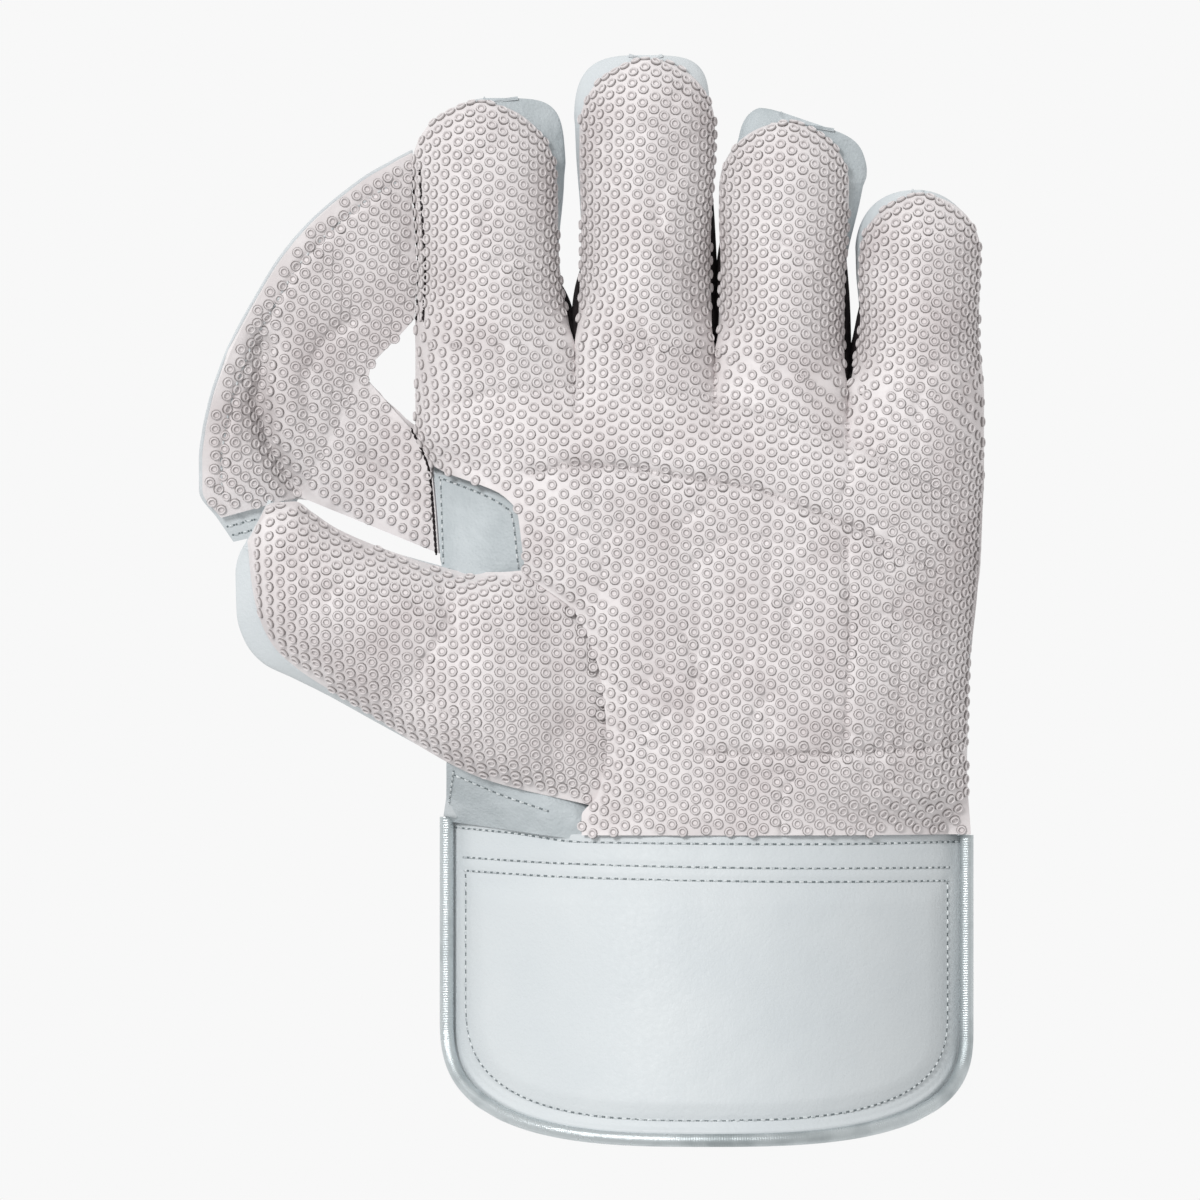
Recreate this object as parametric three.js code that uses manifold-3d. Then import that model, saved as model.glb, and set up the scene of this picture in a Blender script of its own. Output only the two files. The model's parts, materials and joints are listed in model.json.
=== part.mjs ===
// A wicketkeeping glove for the left hand, lying on its back with the palm up.
// Lengths are millimetres. +X runs from the thumb's side to the little finger's, +Y to the
// fingertips and +Z out of the palm. The origin is under the middle of the palm, on the surface
// that the glove lies on. The front is pimpled rubber, the back padded leather and the cuff a
// padded gauntlet with piping round both panels. The hand goes in at the cuff.
import * as THREE from 'three';
import { mergeVertices } from 'three/addons/utils/BufferGeometryUtils.js';
import Module from 'manifold-3d';

// Palm
const PALM_HALF_WIDTH = 84;
const PALM_LENGTH = 147; // from the slits between the fingers to the cuff
const KNUCKLE_Y = 76.5; // the slits' line, from the origin
const PALM_HEIGHT = 48; // the crown of the palm above the surface
const SEAM_HEIGHT = 18; // where the rubber front meets the leather back
const POCKET_DEPTH = 3; // the hollow in the middle of the palm
const POCKET_RADIUS = 42;
const CROTCH_HEIGHT = 28; // the rubber's height at the end of a slit

// Fingers
const FINGER_WIDTH = PALM_HALF_WIDTH * 0.5; // for the shares in the finger table
const FINGER_LENGTH = 87;
const FINGER_HEIGHT = 33;
const FINGERTIP_HEIGHT = 24;
const BACK_CORNER = 9; // radius between a finger's back and its sides
const HAND_CORNER = 14; // radius between the hand's back and its sides
const LOW_SIDE = 8; // the leather's height where a fourchette stands on it

// Thumb
const THUMB_LENGTH = 100;
const THUMB_WIDTH = 45;
const THUMB_DEPTH = 34;
const THUMB_LIFT = 18; // how far the thumb's tip stands off the surface
const THUMB_ANGLE = 152.4; // degrees, from +X
const THUMB_ROOT_X = PALM_HALF_WIDTH * -0.524;
const THUMB_ROOT_Y = PALM_LENGTH * -0.19;
const THUMB_CORNER = THUMB_WIDTH * 0.27; // radius between the thumb's back and its sides

// Catching web between the index finger and the thumb
const WEB_REACH = 65;
const WEB_HEIGHT = 111;
const WEB_FOOT_Y = PALM_LENGTH * 0.159;
const WEB_BACKING_HEM = 9; // how far the leather shows past the rubber's lower edge
const WEB_BULGE = 2;

// Cuff
const CUFF_HALF_WIDTH = PALM_HALF_WIDTH * 0.957; // with its piping
const CUFF_MIDDLE_X = PALM_HALF_WIDTH * 0.043;
const CUFF_LENGTH = 93;
const CUFF_LEFT_CORNER = 37; // heights of the rounded lower corners
const CUFF_RIGHT_CORNER = 33;
const CUFF_HEIGHT = 54; // the crown of the palm-side panel at the mouth
const CUFF_SIDE = 5; // where that panel's sides end, above the surface
const CUFF_EAR = 5.5; // how far the cuff's corner rises beside the thumb
const PIPING_RADIUS = 2.1;
const FRONT_PIPING_HEIGHT = 6.9;
const BACK_PIPING_HEIGHT = 2.3;

// Walls and gaps
const RUBBER = 2.5; // rubber on its cotton backing
const WEB_RUBBER = 2.2;
const LEATHER = 1.5;
const BACK_PADDING = 4;
const FOURCHETTE = 1.2;
const CUFF_PADDING = 6;
const CUFF_EDGE = 3;
const GAP = 0.3;

// The hand's outline and height, from the slits down to the cuff. down is a share of PALM_LENGTH,
// left and right of PALM_HALF_WIDTH, crown of PALM_HEIGHT and seam of SEAM_HEIGHT. square is 1 for
// a flat palm with steep sides and 0 for a plain arch.
const PALM_SECTIONS = [
  { down: 0.0, left: -1.0, right: 1.035, crown: 0.81, seam: 1.0, square: 1.0 },
  { down: 0.17, left: -1.0, right: 1.035, crown: 0.95, seam: 1.0, square: 1.0 },
  { down: 0.25, left: -0.94, right: 1.03, crown: 0.98, seam: 1.0, square: 1.0 },
  { down: 0.45, left: -0.91, right: 1.01, crown: 1.0, seam: 1.0, square: 0.95 },
  { down: 0.65, left: -0.88, right: 0.98, crown: 1.0, seam: 0.95, square: 0.75 },
  { down: 0.85, left: -0.87, right: 0.975, crown: 0.96, seam: 0.8, square: 0.4 },
  { down: 1.0, left: -0.9, right: 0.99, crown: 0.9, seam: 0.62, square: 0.1 },
];

// The palm rubber's edge on the thumb's side: round the gusset and down the thumb's seam.
const RUBBER_EDGE = [
  { down: 0.0, across: -1.0 },
  { down: 0.17, across: -1.0 },
  { down: 0.245, across: -0.935 },
  { down: 0.306, across: -0.69 },
  { down: 0.341, across: -0.635 },
  { down: 0.4, across: -0.62 },
  { down: 0.459, across: -0.605 },
  { down: 0.545, across: -0.43 },
  { down: 0.615, across: -0.37 },
  { down: 0.684, across: -0.335 },
  { down: 0.827, across: -0.314 },
  { down: 0.92, across: -0.35 },
  { down: 0.96, across: -0.405 },
  { down: 1.0, across: -0.405 },
];
const GUSSET_TOP = 0.265; // where the gusset starts and ends on that edge
const GUSSET_FOOT = 0.459;
const SEAM_END = 0.94; // where the thumb's seam meets the wrist
const SEAM_SINK = 1.5; // the valley along the thumb's seam

// The top of the hand back's wall on the thumb's side, as a share of SEAM_HEIGHT: low where the
// thumb's stall opens.
const THUMB_SIDE_WALL = [
  { down: 0.0, top: 0.983 },
  { down: 0.26, top: 0.983 },
  { down: 0.45, top: 1.444 },
  { down: 0.47, top: 0.278 },
  { down: 0.84, top: 0.278 },
  { down: 0.87, top: 1.444 },
  { down: 0.93, top: 1.056 },
  { down: 1.0, top: 0.611 },
];
const STALL_TOP = 0.463; // where the thumb's stall opens in the palm's side, as shares of PALM_LENGTH
const STALL_FOOT = 0.858;

// The wrist patch's upper edge: across is a share of PALM_HALF_WIDTH, down of PALM_LENGTH and rise
// of PALM_HEIGHT.
const WRIST_PATCH = [
  { across: -0.888, down: 0.859, rise: 0.573 },
  { across: -0.762, down: 0.884, rise: 0.625 },
  { across: -0.619, down: 0.922, rise: 0.708 },
  { across: -0.4345, down: 0.971, rise: 0.7625 },
];

// The ends of the slits between the fingers, with the outer edges of the index and little finger.
const SLITS = [
  { across: -1.0, up: 0.0 },
  { across: -0.43, up: 0.0 },
  { across: 0.071, up: -0.014 },
  { across: 0.546, up: -0.092 },
  { across: 1.035, up: -0.11 },
];

// Lengths are shares of FINGER_LENGTH, widths, leans and shifts of FINGER_WIDTH. cap columns say
// how the leather back stands past the rubber at the tip, and side how long the fourchette on the
// finger's far side is, as a share of the finger.
const FINGERS = [
  { name: 'index', length: 0.84, width: 1.036, lean: -0.11, capShift: 0.07, capReach: 0.012, side: 0.28 },
  { name: 'middle', length: 1.0, width: 0.97, lean: 0.024, capShift: -0.06, capReach: 0.012, side: 0.56 },
  { name: 'ring', length: 0.86, width: 0.93, lean: 0.03, capShift: 0.1, capReach: 0.05, side: 0.52 },
  { name: 'little', length: 0.69, width: 0.87, lean: 0.045, capShift: -0.03, capReach: 0.015, side: 0 },
];

// The thumb's stall. along is a share of THUMB_LENGTH, upper, lower and cap of THUMB_WIDTH, lift of
// THUMB_LIFT and depth of THUMB_DEPTH; rim is the seam's place in that depth.
const THUMB_SECTIONS = [
  { along: 0.38, upper: 0.47, lower: -0.69, cap: 0.0, lift: 0.35, depth: 1.2, rim: 0.6 },
  { along: 0.47, upper: 0.41, lower: -0.67, cap: 0.02, lift: 0.5, depth: 1.15, rim: 0.58 },
  { along: 0.59, upper: 0.36, lower: -0.655, cap: 0.04, lift: 0.65, depth: 1.1, rim: 0.55 },
  { along: 0.7, upper: 0.33, lower: -0.63, cap: 0.07, lift: 0.8, depth: 1.03, rim: 0.52 },
  { along: 0.8, upper: 0.32, lower: -0.565, cap: 0.14, lift: 0.9, depth: 0.95, rim: 0.5 },
  { along: 0.88, upper: 0.34, lower: -0.43, cap: 0.2, lift: 1.0, depth: 0.85, rim: 0.5 },
  { along: 0.94, upper: 0.35, lower: -0.27, cap: 0.22, lift: 1.15, depth: 0.68, rim: 0.5 },
  { along: 1.0, upper: 0.27, lower: -0.07, cap: 0.18, lift: 1.4, depth: 0.36, rim: 0.5 },
];

// The web, from the index finger to the thumb. out is a share of WEB_REACH, up of WEB_HEIGHT and
// rise of PALM_HEIGHT. From the notch on, its inner edge is where the arm to the crotch starts.
const WEB_SECTIONS = [
  { outerOut: 0.0, outerUp: 1.0, outerRise: 0.42, innerOut: 0.0, innerUp: 0.55, innerRise: 0.4 },
  { outerOut: 0.198, outerUp: 0.94, outerRise: 0.5, innerOut: 0.07, innerUp: 0.508, innerRise: 0.4 },
  { outerOut: 0.383, outerUp: 0.857, outerRise: 0.56, innerOut: 0.16, innerUp: 0.455, innerRise: 0.39 },
  { outerOut: 0.568, outerUp: 0.749, outerRise: 0.59, innerOut: 0.245, innerUp: 0.4, innerRise: 0.37 },
  { outerOut: 0.729, outerUp: 0.6, outerRise: 0.6, innerOut: 0.31, innerUp: 0.325, innerRise: 0.34 },
  { outerOut: 0.868, outerUp: 0.438, outerRise: 0.56, innerOut: 0.375, innerUp: 0.25, innerRise: 0.31 },
  { outerOut: 0.946, outerUp: 0.303, outerRise: 0.5, innerOut: 0.435, innerUp: 0.185, innerRise: 0.28 },
  { outerOut: 0.985, outerUp: 0.168, outerRise: 0.42, innerOut: 0.485, innerUp: 0.13, innerRise: 0.26 },
  { outerOut: 0.985, outerUp: 0.086, outerRise: 0.36, innerOut: 0.515, innerUp: 0.1, innerRise: 0.24 },
  { outerOut: 0.9, outerUp: 0.012, outerRise: 0.28, innerOut: 0.54, innerUp: 0.07, innerRise: 0.22 },
];
const WEB_NOTCH = 3; // the row where the arm to the crotch starts
const WEB_SEAM_TOP = 0.79; // on the index finger, as shares of its length
const WEB_SEAM_FOOT = 0.11;
const ARM_TOP = 0.18; // on the palm's side, as shares of PALM_LENGTH
const ARM_FOOT = 0.4;
const ARM_RISE = 0.4;
const ARM_SAG = 0.05;

// The cuff's crown, as shares of CUFF_LENGTH and CUFF_HEIGHT.
const CUFF_SECTIONS = [
  { down: 0.0, crown: 0.78, square: 0.1 },
  { down: 0.3, crown: 0.86, square: 0.1 },
  { down: 1.0, crown: 1.0, square: 0.15 },
];

const lerp = THREE.MathUtils.lerp;
const radians = THREE.MathUtils.degToRad;
const smooth = (x) => THREE.MathUtils.smoothstep(x, 0, 1);
const shares = (count) => Array.from({ length: count + 1 }, (_, i) => i / count);
const TIP_STEPS = [0.42, 0.72, 0.9, 0.975]; // places in a rounded tip, close together at its end
const STEEP = 0.75; // the steepest rim that keeps its own slope

// A table's row at any place: each named column, interpolated between its rows
function rowAt(table, key, place) {
  const last = table.length - 1;
  const at = THREE.MathUtils.clamp(place, table[0][key], table[last][key]);
  let i = 0;
  while (i < last - 1 && table[i + 1][key] < at) i++;
  const part = (at - table[i][key]) / (table[i + 1][key] - table[i][key]);
  const row = {};
  for (const column of Object.keys(table[i])) row[column] = lerp(table[i][column], table[i + 1][column], part);
  return row;
}

// One closed wall from grids of points on its outer surface. It reaches from depth `from` to depth
// `to` below them, and past its edges by `grow`. facing is 1 for a front, whose surface looks up,
// -1 for a back and 0 to keep the grid's own order. Steep walls end in a level edge.
function wall(grids, facing, from, to, grow = 0) {
  const positions = [];
  const faces = [];
  for (const grid of grids) {
    const start = positions.length / 3;
    const across = grid[0].length;
    for (const p of grid.flat()) positions.push(p.x, p.y, p.z);
    for (let r = 0; r < grid.length - 1; r++) {
      for (let c = 0; c < across - 1; c++) {
        const a = start + r * across + c;
        faces.push(a, a + 1, a + across + 1, a, a + across + 1, a + across);
      }
    }
  }
  let skin = new THREE.BufferGeometry();
  skin.setAttribute('position', new THREE.Float32BufferAttribute(positions, 3));
  skin.setIndex(faces);
  skin = mergeVertices(skin, 1e-3);
  skin.computeVertexNormals();
  const count = skin.attributes.position.count;
  const place = (i) => new THREE.Vector3().fromBufferAttribute(skin.attributes.position, i);
  const normals = Array.from({ length: count }, (_, i) =>
    new THREE.Vector3().fromBufferAttribute(skin.attributes.normal, i));
  const turned = normals.reduce((sum, n) => sum + n.z, 0) * facing < 0;
  if (turned) normals.forEach((n) => n.negate());
  const triangles = [];
  const index = skin.index.array;
  for (let i = 0; i < index.length; i += 3) {
    const [a, b, c] = [index[i], index[i + 1], index[i + 2]];
    if (a === b || b === c || c === a) continue;
    triangles.push(turned ? [a, c, b] : [a, b, c]);
  }

  const inner = new Set(triangles.flatMap(([a, b, c]) => [`${a}_${b}`, `${b}_${c}`, `${c}_${a}`]));
  const rims = [];
  for (const [a, b, c] of triangles) {
    for (const [p, q] of [[a, b], [b, c], [c, a]]) if (!inner.has(`${q}_${p}`)) rims.push([p, q]);
  }
  const outward = new Map();
  for (const [p, q] of rims) {
    for (const i of [p, q]) {
      const away = place(q).sub(place(p)).cross(normals[i]).normalize();
      outward.set(i, (outward.get(i) ?? new THREE.Vector3()).add(away));
    }
  }
  for (const i of outward.keys()) {
    if (Math.abs(normals[i].z) < STEEP) normals[i].setZ(0).normalize();
  }

  const vertices = [];
  for (const depth of [from, to]) {
    for (let i = 0; i < count; i++) {
      const point = place(i);
      const deep = typeof depth === 'function' ? depth(point) : depth;
      const edge = outward.get(i);
      if (edge && grow) point.addScaledVector(edge.clone().normalize(), grow);
      point.addScaledVector(normals[i], -deep);
      vertices.push(point.x, point.y, point.z);
    }
  }
  const closed = [];
  for (const [a, b, c] of triangles) closed.push(a, b, c, a + count, c + count, b + count);
  for (const [p, q] of rims) closed.push(q, p, p + count, q, p + count, q + count);
  const geometry = new THREE.BufferGeometry();
  geometry.setAttribute('position', new THREE.Float32BufferAttribute(vertices, 3));
  geometry.setIndex(closed);
  return geometry;
}

// A round cord along a line of points
function cord(line, radius) {
  const sides = 8;
  const positions = [];
  const triangles = [];
  line.forEach((p, i) => {
    const before = line[Math.max(i - 1, 0)];
    const after = line[Math.min(i + 1, line.length - 1)];
    const along = after.clone().sub(before).normalize();
    const across = new THREE.Vector3(0, 0, 1).cross(along).normalize();
    const up = along.clone().cross(across);
    for (let s = 0; s < sides; s++) {
      const angle = (2 * Math.PI * s) / sides;
      const q = p.clone()
        .addScaledVector(across, radius * Math.cos(angle))
        .addScaledVector(up, radius * Math.sin(angle));
      positions.push(q.x, q.y, q.z);
    }
  });
  for (let i = 0; i < line.length - 1; i++) {
    for (let s = 0; s < sides; s++) {
      const a = i * sides + s;
      const b = i * sides + ((s + 1) % sides);
      triangles.push(a, b, b + sides, a, b + sides, a + sides);
    }
  }
  const last = (line.length - 1) * sides;
  for (let s = 1; s < sides - 1; s++) {
    triangles.push(0, s + 1, s, last, last + s, last + s + 1);
  }
  const geometry = new THREE.BufferGeometry();
  geometry.setAttribute('position', new THREE.Float32BufferAttribute(positions, 3));
  geometry.setIndex(triangles);
  return geometry;
}

// The joins and cuts
const wasm = await Module();
wasm.setup();

function toSolid(geometry) {
  return new wasm.Manifold(new wasm.Mesh({
    numProp: 3,
    vertProperties: new Float32Array(geometry.attributes.position.array),
    triVerts: new Uint32Array(geometry.index.array),
  }));
}

// A geometry with others cut away. It keeps its largest piece, as a thin offcut may come loose.
function cut(geometry, others) {
  let solid = toSolid(geometry);
  for (const other of others) solid = solid.subtract(toSolid(other));
  const pieces = solid.simplify(0.02).decompose().sort((a, b) => b.volume() - a.volume());
  const mesh = pieces[0].getMesh();
  const result = new THREE.BufferGeometry();
  const stride = mesh.numProp;
  const positions = [];
  for (let i = 0; i < mesh.vertProperties.length; i += stride) {
    positions.push(...mesh.vertProperties.subarray(i, i + 3));
  }
  result.setAttribute('position', new THREE.Float32BufferAttribute(positions, 3));
  result.setIndex([...mesh.triVerts]);
  return result;
}

// The hand's outline and section at a place on the palm
const palmY = (down) => KNUCKLE_Y - down * PALM_LENGTH;
const palmDown = (y) => (KNUCKLE_Y - y) / PALM_LENGTH;
function palmSection(down) {
  const row = rowAt(PALM_SECTIONS, 'down', down);
  return {
    left: row.left * PALM_HALF_WIDTH,
    right: row.right * PALM_HALF_WIDTH,
    crown: row.crown * PALM_HEIGHT,
    seam: row.seam * SEAM_HEIGHT,
    square: row.square,
  };
}
const rubberEdgeX = (down) => rowAt(RUBBER_EDGE, 'down', down).across * PALM_HALF_WIDTH;
const vec = (x, y, z) => new THREE.Vector3(x, y, z);

// The wrist's line. It rises beside the thumb, where the cuff's corner stands.
const wristY = (x) => palmY(1) + CUFF_EAR * THREE.MathUtils.clamp(-x / PALM_HALF_WIDTH / 0.476 - 0.85, 0, 1);

// An arch from 0 at both sides (-1 and 1) to 1 in the middle
function arch(side, square) {
  const flatness = 2.2 + 0.8 * square;
  const inside = 1 - Math.min(1, Math.abs(side)) ** flatness;
  return inside ** (1 / (1 + square));
}

// The height of the hand's front, with the pocket in the palm
function palmHeight(x, y) {
  const s = palmSection(palmDown(y));
  const side = (2 * x - s.left - s.right) / (s.right - s.left);
  const away = Math.hypot(x, y) / POCKET_RADIUS;
  return s.seam + (s.crown - s.seam) * arch(side, s.square) - POCKET_DEPTH * Math.exp(-away * away);
}

// The line of the slits, from the index finger to the little finger
const slits = SLITS.map((s) => ({ x: s.across * PALM_HALF_WIDTH, y: KNUCKLE_Y + s.up * PALM_LENGTH }));
function knuckleLineY(x) {
  let i = 0;
  while (i < slits.length - 2 && slits[i + 1].x < x) i++;
  const part = THREE.MathUtils.clamp((x - slits[i].x) / (slits[i + 1].x - slits[i].x), 0, 1);
  return lerp(slits[i].y, slits[i + 1].y, part);
}

// A finger's middle line, width and heights. place runs from 0 at its root to 1 at the end of its
// straight part, and past that into the rounded tip, which ends at 2.
const fingers = FINGERS.map((row, i) => {
  const [a, b] = [slits[i], slits[i + 1]];
  const length = row.length * FINGER_LENGTH;
  const half = (row.width * FINGER_WIDTH) / 2;
  return { ...row, order: i, a, b, half, length, straight: length - half, lean: row.lean * FINGER_WIDTH };
});

function fingerAt(finger, place, reach = 0) {
  const straight = Math.min(place, 1);
  const tip = Math.max(place - 1, 0);
  const up = straight * finger.straight + tip * (finger.half + reach);
  const opening = smooth(straight / 0.25);
  const inner = lerp(CROTCH_HEIGHT, SEAM_HEIGHT, opening);
  const outer = palmSection(0).seam;
  return {
    x: (finger.a.x + finger.b.x) / 2 + (finger.lean * up) / finger.length,
    y: (finger.a.y + finger.b.y) / 2 + up,
    half: lerp((finger.b.x - finger.a.x) / 2, finger.half, smooth(straight / 0.4)),
    slope: ((finger.b.y - finger.a.y) / 2) * (1 - smooth(straight / 0.8)),
    crown: lerp(lerp(palmSection(0).crown, FINGER_HEIGHT, smooth(straight)), FINGERTIP_HEIGHT, tip * tip),
    left: finger.order === 0 ? outer : inner,
    right: finger.order === fingers.length - 1 ? outer : inner,
  };
}
const roundTip = (tip) => Math.sqrt(1 - Math.min(tip, TIP_STEPS.at(-1)) ** 2);
const squareTip = (tip) => (1 - Math.min(tip, TIP_STEPS.at(-1)) ** 3) ** (1 / 3);

const WRAP = radians(80); // how far the rubber wraps round a finger, each way from the top
const WRAP_ANGLES = [-80, -52, -26, 0, 26, 52, 80].map(radians);
const wrapSide = (angle) => Math.sin(angle) / Math.sin(WRAP);
const wrapLift = (angle) => (Math.cos(angle) - Math.cos(WRAP)) / (1 - Math.cos(WRAP));

// A point on a finger's rubber front. The last row folds down to the seam, between its two ends.
function fingerFront(finger, place, angle) {
  const side = wrapSide(angle);
  const f = fingerAt(finger, Math.abs(side) < 0.99 ? place : Math.min(place, 1 + TIP_STEPS.at(-1)));
  const half = f.half * roundTip(Math.max(place - 1, 0));
  const edge = lerp(f.left, f.right, (side + 1) / 2);
  const lift = place < 2 ? wrapLift(angle) : 0;
  return vec(f.x + side * half, f.y + side * f.slope, edge + (f.crown - edge) * lift);
}

// The palm and the fingers' fronts are one sheet of rubber, slit between the fingers. It is built
// as one wall for the palm and one for each finger, parted by the gap along the slits' line.
function fingerGrid(finger) {
  const places = [0, 0.12, 0.25, 0.5, 0.75, 1, ...TIP_STEPS.map((step) => 1 + step), 2];
  return [places.map((place) => WRAP_ANGLES.map((angle) => {
    const p = fingerFront(finger, place, angle);
    if (place > 0) return p;
    return p.add(vec(-2 * GAP * wrapSide(angle), GAP, 0));
  }))];
}

function palmGrid() {
  const knuckles = fingers.flatMap((finger, i) =>
    WRAP_ANGLES.map((angle) => fingerFront(finger, 0, angle)).slice(i ? 1 : 0));
  const firstX = knuckles[0].x;
  const lastX = knuckles.at(-1).x;
  const downs = [0.06, 0.12, 0.755, ...RUBBER_EDGE.slice(1).map((row) => row.down)];
  downs.sort((a, b) => a - b);
  const palm = downs.map((down) => knuckles.map((knuckle) => {
    const q = (knuckle.x - firstX) / (lastX - firstX);
    const x = lerp(rubberEdgeX(down), palmSection(down).right, q);
    const y = lerp(knuckle.y, palmY(1), down);
    const z = lerp(knuckle.z, palmHeight(x, y), smooth(down / 0.22));
    return vec(lerp(knuckle.x, x, smooth(down / 0.12)), y, z);
  }));
  return [[knuckles, ...palm].reverse()];
}

// A section across a leather back: from its left rim down one side, along the bottom and up the
// other side to its right rim. It is a list of [across, height] pairs.
function traySection({ left, right, floor, leftTop, rightTop, corner, leftRim, rightRim, along }) {
  const low = Math.min(corner, (right - left) * 0.35);
  const shoulder = (top) => top - Math.min(5, (top - floor) * 0.3);
  const turn = [0, 0.5, 1].map((t) => (t * Math.PI) / 2);
  const rise = (top) => Math.min(corner, (shoulder(top) - floor) * 0.85);
  const leftArc = turn.map((t) => [
    left + low * (1 - Math.cos(t)),
    floor + rise(leftTop) * (1 - Math.sin(t)),
  ]);
  const rightArc = turn.map((t) => [
    right - low * (1 - Math.cos(t)),
    floor + rise(rightTop) * (1 - Math.sin(t)),
  ]);
  return [
    [leftRim ?? left, leftTop],
    [left, shoulder(leftTop)],
    ...leftArc,
    ...(along ?? [0.5]).map((share) => [lerp(left + low, right - low, share), floor]),
    ...rightArc.reverse(),
    [right, shoulder(rightTop)],
    [rightRim ?? right, rightTop],
  ];
}

// A finger's leather back: a tray with a closed, rather square cap at its tip. Beside another
// finger its side is low as far as the fourchette reaches, and rises to the rubber past it.
function fingerBack(finger) {
  const before = fingers[finger.order - 1];
  const reach = finger.capReach * FINGER_LENGTH;
  const places = [0, 0.2, 0.4, 0.6, 0.8, 1, ...TIP_STEPS.map((step) => 1 + step), 2];
  const rows = places.map((place) => {
    const tip = Math.max(place - 1, 0);
    const f = fingerAt(finger, place, place < 2 ? reach : 0);
    const shift = finger.capShift * FINGER_WIDTH * smooth((place - 0.5) / 0.7) * (place < 2 ? 1 : 0);
    const inset = place < 0.1 ? 2 * GAP : 0;
    const cap = squareTip(tip);
    const half = f.half * (place < 2 ? cap : roundTip(tip)) - inset;
    const rim = f.half * roundTip(tip) - inset;
    const risen = (reached) => smooth((place - reached) / 0.15 + 0.5);
    const leftTop = lerp(LOW_SIDE, f.left - GAP, before ? risen(before.side * 1.25) : 1);
    const rightTop = lerp(LOW_SIDE, f.right - GAP, fingers[finger.order + 1] ? risen(finger.side * 1.25) : 1);
    const top = Math.min(leftTop, rightTop);
    const floor = place < 2 ? (top - 3) * (1 - (1 - tip ** 2.4) ** (1 / 2.4)) : top - 0.6;
    const section = traySection({
      left: f.x + shift - half,
      right: f.x + shift + half,
      floor,
      leftTop,
      rightTop,
      corner: BACK_CORNER * cap,
      leftRim: f.x - rim,
      rightRim: f.x + rim,
    });
    return section.map(([x, z]) => {
      const side = (x - f.x) / f.half;
      return vec(x, f.y + GAP + side * f.slope, z);
    });
  });
  return [rows];
}

// The black strip between two fingers: along one, round the end of the slit and along the other.
function fourchette(finger, next) {
  const reach = finger.side * 1.25;
  const steps = [1, 0.8, 0.6, 0.4, 0.22, 0.1];
  const leg = (owner, side, share) => {
    const f = fingerAt(owner, share * reach);
    const edge = side > 0 ? f.right : f.left;
    const top = edge - 4 * GAP - RUBBER * (1 - smooth(share / 0.5));
    return { x: f.x + side * (f.half - RUBBER), y: f.y + side * f.slope, top };
  };
  const crotch = { x: finger.b.x, y: finger.b.y - RUBBER, top: CROTCH_HEIGHT - RUBBER - 5 * GAP };
  const line = [
    ...steps.map((share) => leg(finger, 1, share)),
    crotch,
    ...[...steps].reverse().map((share) => leg(next, -1, share)),
  ];
  const rows = [0, 0.5, 1].map((share) => line.map((p) =>
    vec(p.x, p.y, lerp(LOW_SIDE + GAP, p.top, share))));
  return [rows];
}

// The hand's leather back: a tray under the palm, open to the thumb's stall
function handBack() {
  const downs = [0, 0.12, 0.24, 0.26, 0.35, 0.45, 0.47, 0.6, 0.72, 0.84, 0.87, 0.93, 1];
  const rows = downs.map((down) => {
    const s = palmSection(down);
    const section = traySection({
      left: s.left,
      right: s.right,
      floor: 0,
      leftTop: rowAt(THUMB_SIDE_WALL, 'down', down).top * SEAM_HEIGHT,
      rightTop: s.seam - GAP,
      corner: HAND_CORNER,
      along: [0.237, 0.385, 0.532, 0.672, 0.811],
    });
    return section.map(([x, z]) => vec(x, lerp(knuckleLineY(x), wristY(x), down), z));
  });
  return [rows];
}

// The thumb
const thumbAlong = vec(Math.cos(radians(THUMB_ANGLE)), Math.sin(radians(THUMB_ANGLE)), 0);
const thumbAcross = vec(thumbAlong.y, -thumbAlong.x, 0);
const thumbAt = (along, across) => vec(THUMB_ROOT_X, THUMB_ROOT_Y, 0)
  .addScaledVector(thumbAlong, along)
  .addScaledVector(thumbAcross, across);
const thumbSections = THUMB_SECTIONS.map((row) => {
  const lift = row.lift * THUMB_LIFT;
  const depth = row.depth * THUMB_DEPTH;
  return {
    along: row.along * THUMB_LENGTH,
    upper: row.upper * THUMB_WIDTH,
    lower: row.lower * THUMB_WIDTH,
    cap: row.cap * THUMB_WIDTH,
    bottom: lift,
    crown: lift + depth,
    rim: lift + row.rim * depth,
  };
});

function thumbFront() {
  const seam = WRAP_ANGLES.map((angle) => {
    const down = lerp(GUSSET_FOOT, SEAM_END, (wrapSide(angle) + 1) / 2);
    const x = rubberEdgeX(down);
    const y = palmY(down);
    return vec(x - GAP, y, palmHeight(x, y) - SEAM_SINK);
  });
  const upper = vec(-0.7 * PALM_HALF_WIDTH, palmY(STALL_TOP), 0.75 * PALM_HEIGHT);
  const lower = vec(-0.762 * PALM_HALF_WIDTH, palmY(0.884), 0.6875 * PALM_HEIGHT);
  const swell = WRAP_ANGLES.map((angle) => {
    const share = (wrapSide(angle) + 1) / 2;
    const p = upper.clone().lerp(lower, share);
    return p.setZ(p.z + (1.04 * PALM_HEIGHT - p.z) * wrapLift(angle));
  });
  const rows = thumbSections.map((s) => WRAP_ANGLES.map((angle) => {
    const across = lerp(s.upper, s.lower, (wrapSide(angle) + 1) / 2);
    return thumbAt(s.along, across).setZ(s.rim + (s.crown - s.rim) * wrapLift(angle));
  }));
  const end = thumbSections.at(-1);
  const fold = WRAP_ANGLES.map((angle) => {
    const across = lerp(end.upper, end.lower, (wrapSide(angle) + 1) / 2);
    const past = Math.abs(wrapSide(angle)) < 0.99 ? 1 : 0;
    return thumbAt(end.along + past, across).setZ(end.rim);
  });
  return [[seam, swell, ...rows, fold]];
}

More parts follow.
